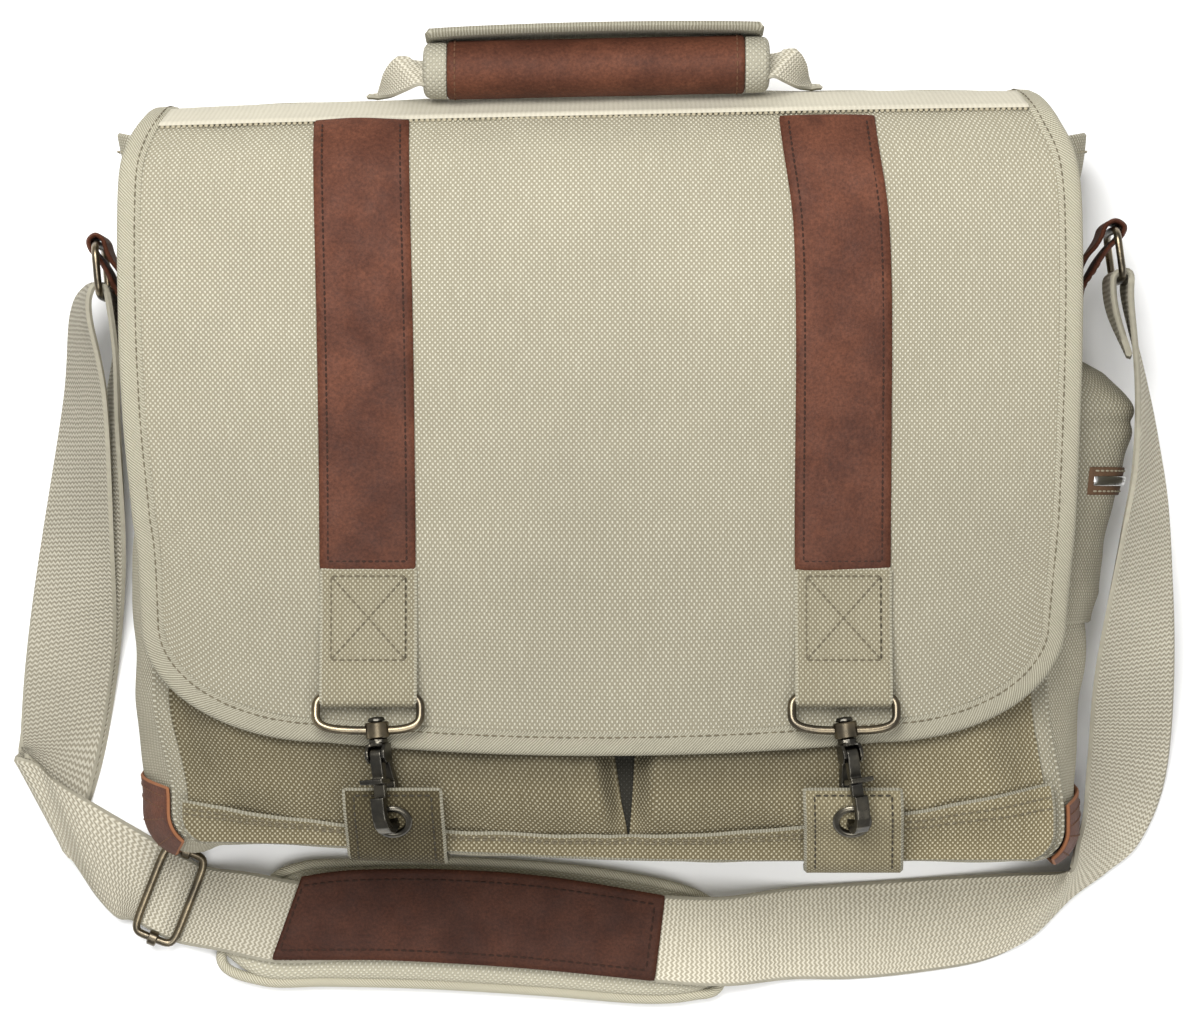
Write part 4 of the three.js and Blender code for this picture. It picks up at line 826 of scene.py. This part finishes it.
# Ribbed webbing across the top of the flap
topBand = {
    "span": (0.1, 0.9), "rows": (5.42, 6.4), "thick": 1.4, "lift": 0.9, "rope": 0.45, "ropeAt": 0.06,
    "ropeWidth": 0.08,
    "seams": ((5.38, 0.6, 2.3, 2.2), (6.5, 0.35, 3.0, 1.0)),  # row, lift, pitch and size
}
u, v = grid(14, 150)
bandU, bandV = mix(*topBand["span"], v), mix(*topBand["rows"], u) / lastFlapRow
normals = flapNormal(bandU, bandV)
points = flapPoint(bandU, bandV) + normals * (halfCloth + sizes["gap"] + topBand["lift"])
rope = topBand["rope"] * np.exp(-((u - topBand["ropeAt"]) / topBand["ropeWidth"]) ** 2)
makeSheet(
    "top-webbing", points, topBand["thick"], bandWebbing, normals=normals,
    swell=rope,
)
for row, lift, pitch, size in topBand["seams"]:
    u = np.linspace(*topBand["span"], 200)
    normals = flapNormal(u, row / lastFlapRow)
    stitch("pale", flapPoint(u, row / lastFlapRow) + normals * (halfCloth + lift), normals, pitch, size)

# Leather straps on the flap and the webbing loops at their ends
strapLook = {"edgeInset": 2.8, "stitchPitch": 2.6, "curl": -0.35, "swell": 0.25, "swellSize": 33}
boxLook = {"top": -42.5, "low": -77.0, "half": 15.4}
flapStraps = {
    "left": {
        "rows": table("y x", (-39.2, -96), (60, -97.2), (145.2, -99.2)), "seed": 51, "tabX": -95.6,
        "tabTopX": -85.8, "tabBottomX": -83.4, "bossX": -91.7, "tilt": 5.7, "eyeletX": -85.5,
    },
    "right": {
        "rows": table("y x", (-39.2, 100.2), (60, 100.8), (105, 99.6), (147, 94.4)), "seed": 52,
        "tabX": 100.6, "tabTopX": 104.3, "tabBottomX": 106, "bossX": 101.2, "tilt": 8, "eyeletX": 104.1,
    },
}
loopRows = table(
    "y lift", (-39.8, 1.4), (-58, 1.5), (-74, 4), (-85, 7.2), (-90.2, 7.7), (-94.2, 7.2), (-95.5, 4.4),
    (-94.2, 1.7), (-90.2, 1.4), (-84, 1.4),
)


def onStrap(strap, u, y, lift):  # over a flap strap: u from edge to edge
    x = heightAt(strap["rows"], "x", y) + (u - 0.5) * sizes["strapWidth"]
    return onFlap(x, y, lift + flapSwell(x, y))


def tabTop(strap, y, place):  # height of the middle of a webbing loop's outer layer
    face = onFlap(strap["tabX"], np.maximum(y, -90), halfCloth)[..., 2]
    return face + sizes["gap"] + curveAt(loopRows["lift"], place)


for name, strap in flapStraps.items():
    low, high = strap["rows"]["y"][0], strap["rows"]["y"][-1]
    u, v = grid(16, 100)
    y = mix(low, high, 1 - (1 - v) ** 1.3)
    lift = halfCloth + sizes["seat"] + sizes["leather"] / 2
    swell = strapLook["swell"] * waves(y, sizes["strapWidth"] * u, strap["seed"], strapLook["swellSize"])
    swell = swell + strapLook["curl"] * (2 * u - 1) ** 4
    makeSheet(
        f"{name}-strap-leather", onStrap(strap, u, y, lift), sizes["leather"], leatherStrap,
        swell=swell,
    )
    top = lift + sizes["leather"] / 2
    inset = strapLook["edgeInset"] / sizes["strapWidth"]
    y = np.linspace(low + strapLook["edgeInset"], high - 2, 120)
    for edge in (inset, 1 - inset):
        stitch("dark", onStrap(strap, edge, y, top - 0.15), (0, 0, 1), strapLook["stitchPitch"])
    u = np.linspace(inset, 1 - inset, 30)
    stitch(
        "dark", onStrap(strap, u, low + strapLook["edgeInset"], top - 0.1), (0, 0, 1),
        strapLook["stitchPitch"],
    )

    u, v = grid(20, 120)
    place = placeIn(loopRows, v)
    y = curveAt(loopRows["y"], place)
    points = point(strap["tabX"] + (u - 0.5) * sizes["strapWidth"], y, tabTop(strap, y, place))
    makeSheet(
        f"{name}-strap-tab", points, sizes["webbing"], canvasTab,
        rim=twill,
    )
    # box and cross of stitching under the leather's end
    corners = [
        (-1, "top"), (1, "top"), (1, "low"), (-1, "low"), (-1, "top"), (1, "low"), (1, "top"), (-1, "low"),
    ]
    for (x0, y0), (x1, y1) in zip(corners, corners[1:]):
        t = np.linspace(0, 1, 20)
        x, y = strap["tabX"] + mix(x0, x1, t) * boxLook["half"], mix(boxLook[y0], boxLook[y1], t)
        z = tabTop(strap, y, np.interp(-y, -loopRows["y"][:5], np.arange(5))) + sizes["webbing"] / 2 + 0.15
        stitch("dim", point(x, y, z), (0, 0, 1), 3.0)
print("flap made")

# Metalwork
hookLook = {"y": -106.0, "z": 107.5, "voxel": 0.32, "worn": 9}
swivel = {
    "halfWidth": 21.6, "height": 15.8, "drop": 4.0, "wire": 3.6, "square": 3.4,
    "boss": (2.75, 5.0, -3.0, 3.5, 0.4),  # bore, radius, low, high and bevel
}


def dress(node, material):  # a solid that is kept: its finish, and edges worn round as on a casting
    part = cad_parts[node]
    for place in part.material_slots:
        place.material = material
    cast = part.modifiers.new("cast", "REMESH")
    cast.mode, cast.voxel_size, cast.use_smooth_shade = "VOXEL", hookLook["voxel"] * mm, True
    worn = part.modifiers.new("worn", "SMOOTH")
    worn.factor, worn.iterations = 0.5, hookLook["worn"]


def squareRing(count, power):  # a ring with square corners, -1 to 1 in two directions
    angle = circle(count)
    return (np.sign(value) * np.abs(value) ** (2 / power) for value in (np.cos(angle), np.sin(angle)))


def barrel(bore, radius, low, high, bevel):  # profile of a short tube
    profile = [(bore, low), (radius - bevel, low), (radius, low + bevel)]
    return profile + [(radius, high - bevel), (radius - bevel, high), (bore, high)]


def lathe(profile, count):  # rings of a turned shape about +Y
    angle = circle(count)
    radius, height = np.array(profile).T[..., None]
    return point(radius * np.cos(angle), height, radius * np.sin(angle))


def turned(rings, rotation, offset):
    return rings @ np.array(rotation.to_3x3()).T + np.asarray(offset)


closureRows = table(
    "y z sunk", (-156.1, 66, 1), (-158, 78, 1), (-156.5, 87, 0.75), (-150, 94.5, 0), (-143, 100.9, 0),
    (-137, 103.3, 0), (-131, 103.2, 0),
)
closureLook = {
    "width": 39.0, "cloth": 2.4, "hole": 6.2, "inset": 3.5, "eyelet": 4 / 6, "stitches": (0.3, 0.93),
}
eyeletProfile = [
    (5.2, -2.3), (5.8, -2.3), (5.8, 1.7), (8.1, 1.7), (8.0, 2.1), (6.9, 2.7), (5.7, 2.6), (5.2, 2.0),
]


def closurePoint(strap, u, v):
    place = placeIn(closureRows, v)
    x = mix(strap["tabBottomX"], strap["tabTopX"], v) + (u - 0.5) * closureLook["width"]
    sink = sinkAt(x) * curveAt(closureRows["sunk"], place)
    return point(x, curveAt(closureRows["y"], place) - sink, curveAt(closureRows["z"], place))


def closureNormal(strap, u, v, step=0.01):
    rise = closurePoint(strap, u, v + step) - closurePoint(strap, u, v - step)
    return unit(np.cross((1.0, 0.0, 0.0), rise))


def drillHole(piece, rings):  # cuts a round hole through a piece
    drill = newObject("drill", rings.reshape(-1, 3), skinFaces(*rings.shape[:2]), twill)
    hole = piece.modifiers.new("hole", "BOOLEAN")
    hole.object, hole.solver = drill, "EXACT"
    bpy.context.view_layer.update()
    holed = bpy.data.meshes.new_from_object(piece.evaluated_get(bpy.context.evaluated_depsgraph_get()))
    piece.modifiers.clear()
    piece.data = holed
    bpy.data.objects.remove(drill)


for name, strap in flapStraps.items():
    across, rise = squareRing(96, swivel["square"])
    x, rise = strap["tabX"] + swivel["halfWidth"] * across, 0.5 + 0.5 * rise
    path = point(x, hookLook["y"] + swivel["height"] * rise, hookLook["z"] - swivel["drop"] * rise)
    rings = sectionsAlong(smoothPath(path, 120, True), swivel["wire"] / 2)
    makeLoft(f"{name}-swivel-ring", rings, brass, "brass", True)
    tilt = Matrix.Rotation(math.radians(strap["tilt"]), 3, "Z")
    rings = turned(lathe(barrel(*swivel["boss"]), 32), tilt, (strap["bossX"], hookLook["y"], hookLook["z"]))
    makeLoft(f"{name}-swivel-boss", rings, brass, "brass", smoothAngle=35, node="")
    for node in (f"{name}_snap_hook", f"{name}_snap_lever"):
        dress(node, gunmetal)

    u, v = grid(40, 60)
    tab = makeSheet(
        f"{name}-closure-tab", closurePoint(strap, u, v), closureLook["cloth"], canvasClosurePaintedShade[name],
        rim=twillEdge,
    )
    v = closureLook["eyelet"]
    u = 0.5 + (strap["eyeletX"] - mix(strap["tabBottomX"], strap["tabTopX"], v)) / closureLook["width"]
    eyeletAt, step = closurePoint(strap, u, v), 0.004
    outward = np.cross(
        closurePoint(strap, u + step, v) - eyeletAt, closurePoint(strap, u, v + step) - eyeletAt,
    )
    face = Vector((0, 1, 0)).rotation_difference(Vector(outward)).to_matrix()
    drillHole(tab, turned(lathe([(closureLook["hole"], -8), (closureLook["hole"], 8)], 40), face, eyeletAt))
    rings = turned(lathe(eyeletProfile, 48), face, eyeletAt)
    makeLoft(f"{name}-eyelet", rings.swapaxes(0, 1), gunmetal, "brass", True, 60)
    low, high = closureLook["stitches"]
    for x0, v0, x1, v1 in ((-1, low, -1, high), (-1, high, 1, high), (1, high, 1, low)):
        t = np.linspace(0, 1, 30)
        u, v = 0.5 + mix(x0, x1, t) * (0.5 - closureLook["inset"] / closureLook["width"]), mix(v0, v1, t)
        normals = closureNormal(strap, u, v)
        stitch("shade", closurePoint(strap, u, v) + normals * (closureLook["cloth"] / 2 + 0.05), normals, 3.0)
print("closures made")

# Carrying handle
handle = {
    "y": 169.6, "z": 78.0, "deeper": 3.0, "radius": 9.6, "leatherLeft": -63.0, "leatherRight": 59.6,
    "leatherGap": 0.75, "webWidth": 19.0, "webThick": 2.0, "footFront": 6.95, "footBack": 7.9,
    "footLift": 1.7, "leanX": 8.0, "leanY": 9.0, "stitchInset": 2.6,
}
handleRows = table(
    "x rise sewn lean", (-96.5, 0, 1, 0), (-93, 0, 1, 0.1), (-90, -2, 0.75, 0.5), (-86, -1, 0.35, 1),
    (-81, 0, 0.05, 1.3), (-76, 0, 0, 1.4), (-60, 0, 0, 0.8), (56, 0, 0, 0.8), (73, 0, 0, 1.4),
    (78, 0, 0.05, 1.3), (83, -1, 0.35, 1), (87.5, -2, 0.75, 0.5), (91.5, 0, 1, 0.1), (95, 0, 1, 0),
)


def handleY(x):  # the handle leans as the flap's top does
    return handle["y"] + flapShape["tilt"] * x


u, v = grid(12, 190)
place = placeIn(handleRows, v)
x = curveAt(handleRows["x"], place)
free = point(x, handleY(x) + curveAt(handleRows["rise"], place), handle["z"] + (0.5 - u) * handle["webWidth"])
footU = 0.5 + np.arcsin(x / sizes["halfWidth"]) / pi
footV = mix(handle["footFront"], handle["footBack"], u) / lastFlapRow
foot = flapPoint(footU, footV) + flapNormal(footU, footV) * (halfCloth + handle["footLift"])
sewn = np.clip(curveAt(handleRows["sewn"], place), 0, 1)[..., None]
turn = curveAt(handleRows["lean"], place) * (0.5 - u)
points = mix(free, foot, sewn) + point(-np.sign(x) * handle["leanX"] * turn, -handle["leanY"] * turn, 0)
makeSheet(
    "handle-webbing", points, handle["webThick"], webbing, rim=strapEdge,
)


def gripAt(x, radius, angle):
    depth = radius + handle["deeper"]
    return point(x, handleY(x) + radius * np.sin(angle), handle["z"] + depth * np.cos(angle))


gripRows = table(
    "x radius", (-73.8, 6.6), (-73.4, 9.2), (-72.2, 11), (-70, 11.6), (-66, 11.8), (-64, 11.5), (-62.7, 9.9),
    (-50, 9.6), (-20, 9.7), (20, 9.7), (46, 9.6), (59.3, 9.9), (60.6, 11.5), (62.5, 11.8), (67, 11.6),
    (69.2, 11), (70.4, 9.2), (70.8, 6.6),
)
place = placeIn(gripRows, np.linspace(0, 1, 150))[:, None]
angle = np.linspace(pi, 3 * pi, 44, endpoint=False)
x = curveAt(gripRows["x"], place)
radius = curveAt(gripRows["radius"], place) + 0.2 * np.sin(3 * angle + x / 5)
grip = makeLoft("handle-grip", gripAt(x, radius, angle), canvasGrip)
u, v = grid(90, 40)
x = mix(handle["leatherLeft"] + 0.3, handle["leatherRight"] - 0.3, u)
turn = mix(-0.55 * pi, 0.62 * pi, v)
inside = handle["radius"] + handle["leatherGap"]
radius = inside + sizes["leather"] / 2 + 0.25 * np.sin(x / 9) * np.sin(turn * 2)
makeSheet(
    "handle-leather", gripAt(x, radius, turn), sizes["leather"], leather,
)
turn = np.linspace(-0.5 * pi, 0.6 * pi, 40)
for x in (handle["leatherLeft"] + handle["stitchInset"], handle["leatherRight"] - handle["stitchInset"]):
    path = gripAt(x, inside + sizes["leather"] + 0.05, turn)
    stitch("tan", path, path - gripAt(x, 0.1, turn), 3.0)
leaf = {"left": -71.0, "right": 66.5, "low": 11.6, "rise": 2.2, "lean": -0.1, "halfWidth": 10.5, "cloth": 3.8}
u, v = grid(90, 16)
arch = np.sin(pi * mix(0.02, 0.98, u)) ** 0.6 * (0.75 + 0.25 * (1 - (2 * v - 1) ** 2))
x, forward = mix(leaf["left"], leaf["right"], u), (2 * v - 1) * leaf["halfWidth"]
y = handleY(x) + leaf["low"] + leaf["rise"] * arch - leaf["lean"] * forward + leaf["cloth"] / 2
points = point(x, y, handle["z"] + forward)
makeSheet("handle-cover", points, leaf["cloth"], canvasGrip, rim=twill)
print("handle made")

# Shoulder strap: leather loops, rings and the runs of webbing
ringLoopRows = table(
    "out y", (1.8, 62), (1.9, 72), (4.6, 84), (8.2, 93), (9.6, 98.2), (12.6, 100.4), (15.6, 98), (14.9, 94),
    (11.4, 89.5), (7.6, 82), (4.5, 72), (4.3, 62),
)
sideRing = {
    "z": 52.0, "halfWidth": 22.6, "wire": 3.2, "barOut": 12.5, "barY": 96.6, "loopWidth": 30.0, "square": 5,
}
strapRings = {
    "left": {"lift": 0.0, "reach": 1.0, "lowX": -209.5, "lowY": 74.5},
    "right": {"lift": 6.0, "reach": 1.3, "lowX": 219.0, "lowY": 81.5},
}


def gussetX(side, y, share):
    return wallPoint(side, sizes["gussetTop"] - y, share, halfCloth)[..., 0]


for name, ring in strapRings.items():
    side = sides[name]
    u, v = grid(24, 130)
    place = placeIn(ringLoopRows, v)
    y = curveAt(ringLoopRows["y"], place) + ring["lift"]
    z = sideRing["z"] + (u - 0.5) * sideRing["loopWidth"]
    out = curveAt(ringLoopRows["out"], place)
    sewnX = gussetX(side, y, np.clip(z / heightAt(depthRows, "depth", y), 0, 1))
    x = mix(sewnX, gussetX(side, y, 0.5), ease((out - 2) / 5))
    points = point(x + side * np.where(out > 2, 2 + (out - 2) * ring["reach"], out), y, z)
    makeSheet(f"{name}-ring-tab", points, sizes["leather"], leather)
    for column in (2, 22):
        stitch("tan", points[column, -26:-4] + (side * 1.0, 0, 0), (side, 0, 0), 3.0)

    barY = sideRing["barY"] + ring["lift"]
    barX = gussetX(side, barY, 0.5) + side * (2 + (sideRing["barOut"] - 2) * ring["reach"])
    bar, low = np.array([barX, barY]), np.array([ring["lowX"], ring["lowY"]])
    across, rise = squareRing(96, sideRing["square"])
    x, y = ((bar + low) / 2 + (bar - low) / 2 * rise[:, None]).T
    path = smoothPath(point(x, y, sideRing["z"] + sideRing["halfWidth"] * across), 120, True)
    rings = sectionsAlong(path, sideRing["wire"] / 2, upward=(1, 0, 0))
    makeLoft(f"{name}-side-ring", rings, brass, "brass", True)

edgeNames = "ax ay az bx by bz"
innerRun = table(
    edgeNames, (-211, 80.5, 34, -209.6, 79.5, 71), (-219, 79.5, 31, -213.2, 77, 70),
    (-225.5, 68, 27, -214.6, 66, 64), (-229.7, 32, 14, -209.6, 31.4, 48),
    (-241, -33.4, 5.6, -208.6, -31.5, 29), (-246.6, -77.9, 5, -209.6, -70.2, 12.6),
    (-249, -112.5, 4.7, -214.8, -106.8, 5.2), (-248.2, -118.6, 4.7, -220.6, -134, 4.7),
    (-247.4, -120.6, 4.8, -226, -154.6, 4.8), (-247.9, -121.8, 6.3, -227.6, -158.4, 6.3),
    (-246, -122, 7.8, -225.6, -161.2, 7.8), (-240.5, -126.6, 7.9, -222, -168.6, 7.8),
    (-233.2, -133.6, 7.8, -216.6, -180.2, 6.8), (-214, -145.5, 6.2, -208.6, -189.6, 5.2),
    (-188.9, -160.8, 2.4, -201.1, -191.4, 2.4), (-181, -165, 2, -193.2, -195.6, 2),
)
outerRun = table(
    edgeNames, (-207.8, 78.6, 34, -207.8, 78.6, 71), (-206.1, 73, 33, -206.1, 73, 70),
    (-207.5, 50, 24, -204, 50, 60), (-216, 20, 9, -204.6, 20, 43), (-237, -33, 1.6, -204, -31, 24.6),
    (-245, -78, 1.4, -207.5, -70, 8), (-249.4, -112, 1.4, -213, -107, 1.6),
    (-250.4, -119, 1.5, -219.4, -134.6, 1.5), (-250.9, -121.6, 1.9, -228.4, -156.6, 1.9),
    (-251.9, -122.8, 6.4, -231, -160.8, 6.4), (-249.6, -122.8, 11, -229, -163.2, 11),
    (-241.4, -126, 11.5, -224, -170.6, 11.3), (-233.2, -133.6, 11.4, -217.2, -180.8, 10.4),
    (-214, -145.5, 9.8, -208.6, -189.6, 8.8), (-188.9, -160.8, 5.4, -201.1, -191.4, 5.4),
    (-179.3, -165.7, 8.6, -191.5, -196.3, 8.6), (-169.4, -170.4, 5.4, -181.6, -201, 5.4),
    (-150, -172.6, 11, -163, -204, 11), (-128, -176.5, 12.3, -137, -209, 12.3),
    (-100, -177, 12.2, -105, -207.5, 12.2),
)
rightRun = table(
    edgeNames, (5, -179.5, 12.2, 2, -214.5, 12.2), (23.7, -182, 12.2, 19.4, -216.8, 12.2),
    (52.1, -183, 11.4, 53, -219, 11.4), (81.2, -179.7, 4, 82, -216.8, 4),
    (106.9, -177.9, 1.5, 108.2, -216.8, 1.5), (144, -175.3, 1.6, 136.3, -214.2, 1.6),
    (177, -173.2, 6, 166.1, -209, 1.6), (197.1, -171.2, 22, 185.5, -199.4, 2.5),
    (201, -167.7, 36, 203.2, -182.1, 2.5), (203.2, -158.3, 36, 218.4, -170.9, 2.5),
    (207.4, -145.7, 26, 233, -157.4, 3), (210, -122.3, 22, 243.4, -128.3, 6),
    (211.5, -81.4, 44, 244.2, -77.1, 30), (219.5, -26.5, 66, 241.3, -20.3, 38),
    (224.5, 3.7, 68, 237, 12.5, 36), (225.4, 37.2, 70, 231.6, 40.6, 34), (222.6, 72, 71, 223.6, 73, 34),
    (222.6, 83.4, 70, 222.6, 83.4, 35), (219, 85.2, 69.6, 219, 85.2, 35.4),
)
rightEnd = table(
    edgeNames, (217.6, 84.8, 69.6, 217.6, 84.8, 35.4), (215.2, 81, 70, 215.2, 81, 35),
    (216.4, 68, 70, 217.4, 68, 34), (222, 50, 69, 225.4, 50, 35),
)


def ribbon(rows, uSteps, vSteps):
    fine = placeIn(rows, np.linspace(0, 1, 3000))
    middle = np.stack([(curveAt(rows["a" + k], fine) + curveAt(rows["b" + k], fine)) / 2 for k in "xyz"], 1)
    length = runLength(middle)
    place = np.interp(np.linspace(0, length[-1], vSteps + 1), length, fine)[None, :]
    u = np.linspace(0, 1, uSteps + 1)[:, None]
    return point(*(mix(curveAt(rows["a" + k], place), curveAt(rows["b" + k], place), u) for k in "xyz"))


runLook = {"across": 24, "selvedge": 0.5, "selvedgeWidth": 0.05}
u = np.linspace(0, 1, runLook["across"] + 1)[:, None]
selvedge = np.exp(-((np.minimum(u, 1 - u) / runLook["selvedgeWidth"]) ** 2))
strapThick = runLook["selvedge"] * selvedge + sizes["webbing"]
runs = {
    "inner-run": (innerRun, 330, webbingSidePaintedShade), "outer-run": (outerRun, 420, webbingFoldPaintedShade),
    "right-run": (rightRun, 420, webbingRightPaintedLight), "right-end": (rightEnd, 50, webbing),
}
for name, (rows, steps, cloth) in runs.items():
    points = ribbon(rows, runLook["across"], steps)
    makeSheet(f"strap-{name}", points, strapThick, cloth, strapEdge)

slide = {
    "at": (-185.4, -181.0, 9.3), "lean": math.atan2(0.93, 0.367), "halfLength": 20.1, "halfWidth": 9.2,
    "wire": 3.4, "square": 7, "barZ": -4.1, "bar": 3.0,
    "collar": (1.0, 3.3, -2.0, 2.0, 0.5),  # as the swivel's boss
}


def slidePiece(name, rings, **settings):
    rings = turned(rings, Matrix.Rotation(slide["lean"], 3, "Z"), slide["at"])
    makeLoft(name, rings, brass, "brass", **settings)


x, y = squareRing(96, slide["square"])
path = smoothPath(point(slide["halfLength"] * x, slide["halfWidth"] * y, 0), 140, True)
slidePiece("slide-buckle", sectionsAlong(path, slide["wire"] / 2), closed=True)
path = point(np.linspace(-slide["halfLength"], slide["halfLength"], 12), 0, slide["barZ"])
slidePiece("slide-bar", sectionsAlong(path, slide["bar"] / 2, False), smoothAngle=40, node="")
for name, end in (("low", -1), ("high", 1)):
    rings = lathe(barrel(*slide["collar"]), 24) + (end * slide["halfLength"], 0, 0)
    slidePiece(f"slide-collar-{name}", rings, smoothAngle=40, node="")

# Shoulder pad
padRows = table(
    "ax ay bx by", (-143.2, -177, -163.5, -208), (-128.1, -169.2, -145.8, -218.4),
    (-107.4, -167.9, -116.5, -218.8), (-68.6, -167, -77.6, -219.7), (-15.1, -170.1, -25.9, -222.7),
    (29.3, -177.4, 17.3, -226.1), (48.7, -185.6, 39.7, -224.8), (52.6, -194.2, 51.8, -219.7),
)
pad = {
    "low": 0.3, "high": 10.4, "inset": 1.2, "endRun": 0.5, "square": 3, "rim": 2.3, "leatherLow": 13.8,
    "stitchLift": 1.85,
}
padMiddle = (pad["low"] + pad["high"]) / 2
place = placeIn(padRows, np.linspace(0, 1, 110))
a, b = (point(curveAt(padRows[k + "x"], place), curveAt(padRows[k + "y"], place), padMiddle) for k in "ab")
half = (a - b) / 2
half *= 1 - pad["inset"] / np.linalg.norm(half, axis=1, keepdims=True)
ends = pad["inset"] * (np.exp(-place / pad["endRun"]) - np.exp(-(place[-1] - place) / pad["endRun"]))
middle = (a + b) / 2 + point(ends, 0, 0)
across, rise = squareRing(48, pad["square"])
crown = point(0, 0, (pad["high"] - pad["low"]) / 2 * rise)
rings = middle[:, None] + half[:, None] * across[:, None] + crown
padPiece = makeLoft("shoulder-pad", rings, canvasPad)
outline = [np.stack([padRows[k + "x"], padRows[k + "y"]], 1) for k in "ab"]
rimX, rimY = smoothPath(np.concatenate([outline[0], outline[1][::-1]]), 260, True).T
makeLoft("pad-binding", sectionsAlong(point(rimX, rimY, padMiddle), pad["rim"]), twillPad, "twill", True)
padLeatherRows = table(
    "ax ay bx by", (-127.7, -173.5, -140.2, -207.9), (-107.1, -170.9, -116.1, -207.9),
    (-68.4, -170.5, -86, -208.3), (-24.1, -173.5, -34.4, -211.3), (27.1, -181.7, 22.8, -216.9),
)


def onPatch(u, v, lift):
    place = placeIn(padLeatherRows, v)
    at = {k: curveAt(padLeatherRows[k], place) for k in padLeatherRows}
    return point(mix(at["ax"], at["bx"], u), mix(at["ay"], at["by"], u), pad["leatherLow"] + lift)


points = onPatch(*grid(24, 90), sizes["leather"] / 2)
makeSheet("pad-leather", points, sizes["leather"], leatherDark)
u, v = np.linspace(0.12, 0.88, 80), np.linspace(0.025, 0.975, 80)
for line in ((0.1, v), (0.9, v), (u, v[0]), (u, v[-1])):
    stitch("dark", onPatch(*line, pad["stitchLift"]), (0, 0, 1), 3.4)
print("strap made")

# Stitches: short flattened beads, all rows of one thread in one mesh
beadLook = {
    "fill": 0.72, "radius": 0.42, "flat": 0.8, "lift": 0.1, "sides": 6,
    "rings": np.array([(-1.0, 0.35), (-0.6, 0.9), (0.0, 1.0), (0.6, 0.9), (1.0, 0.35)]),
}


def beadsAlong(path, normals, pitch, size):  # rings of points, for each stitch
    length = runLength(path)
    count = max(int(length[-1] / pitch), 1)
    place = (np.arange(count) + 0.5) * length[-1] / count
    reach = beadLook["fill"] * length[-1] / count / 2
    ahead = unit(along(path, length, place + reach) - along(path, length, place - reach))
    up = along(normals, length, place)
    up = unit(up - ahead * (up * ahead).sum(1, keepdims=True))
    angle = circle(beadLook["sides"])[:, None]
    ring = np.cross(ahead, up)[:, None] * np.cos(angle) + up[:, None] * np.sin(angle) * beadLook["flat"]
    middle = along(path, length, place) + up * beadLook["lift"]
    shift, wide = (beadLook["rings"] * (reach, beadLook["radius"] * size)).T[..., None, None]
    return middle[:, None, None] + ahead[:, None, None] * shift + ring[:, None] * wide


beadFaces = skinFaces(len(beadLook["rings"]), beadLook["sides"])
for kind, colour in threadColours.items():
    beads = np.concatenate([beadsAlong(*row) for thread, *row in threads if thread == kind])
    starts = np.arange(len(beads)) * len(beadLook["rings"]) * beadLook["sides"]
    faces = [[start + corner for corner in face] for start in starts for face in beadFaces]
    material = plainMaterial(f"{kind} thread", colour, 0.85, 0.4)
    piece = newObject(f"{kind}-stitching", beads.reshape(-1, 3), faces, material)
    settle(piece, "")
print("stitches made")

# Metal that stays as the solids have it
dress("side_zip_slider", brass)

# Floor, light and camera
bpy.context.scene.view_settings.view_transform = "Standard"
view = {"height": 2200.0, "middle": (0.0, -15.0), "lens": 152.46, "sensor": 36.0}
floorMaterial = Surface("floor").finish((0.93, 0.93, 0.925), 0.85)
floorMesh = bpy.data.meshes.new("floor")
floorMesh.from_pydata([(-4, -4, 0), (4, -4, 0), (4, 4, 0), (-4, 4, 0)], [], [(0, 1, 2, 3)])
floorMesh.materials.append(floorMaterial)
floor = bpy.data.objects.new("floor", floorMesh)
bpy.context.scene.collection.objects.link(floor)

lights = {
    "key": {"at": (-0.3, 0.6, 1.6), "size": 1.0, "power": 38},
    "front": {"at": (0.25, -1.1, 2.3), "size": 1.8, "power": 36},
}
for name, lamp in lights.items():
    light = bpy.data.lights.new(name, "AREA")
    light.energy, light.size, light.shape = lamp["power"], lamp["size"], "DISK"
    holder = bpy.data.objects.new(name, light)
    holder.location = lamp["at"]
    holder.rotation_euler = (-Vector(lamp["at"])).to_track_quat("-Z", "Y").to_euler()
    bpy.context.scene.collection.objects.link(holder)
world = bpy.data.worlds.new("studio")
bpy.context.scene.world = world
world.use_nodes = True
world.node_tree.nodes["Background"].inputs["Color"].default_value = (1, 1, 1, 1)
world.node_tree.nodes["Background"].inputs["Strength"].default_value = 0.46

camera = bpy.data.cameras.new("camera")
camera.sensor_width, camera.lens = view["sensor"], view["lens"]
cameraHolder = bpy.data.objects.new("camera", camera)
cameraHolder.location = (view["middle"][0] * mm, view["middle"][1] * mm, view["height"] * mm)
bpy.context.scene.collection.objects.link(cameraHolder)
bpy.context.scene.camera = cameraHolder
print("stage set")
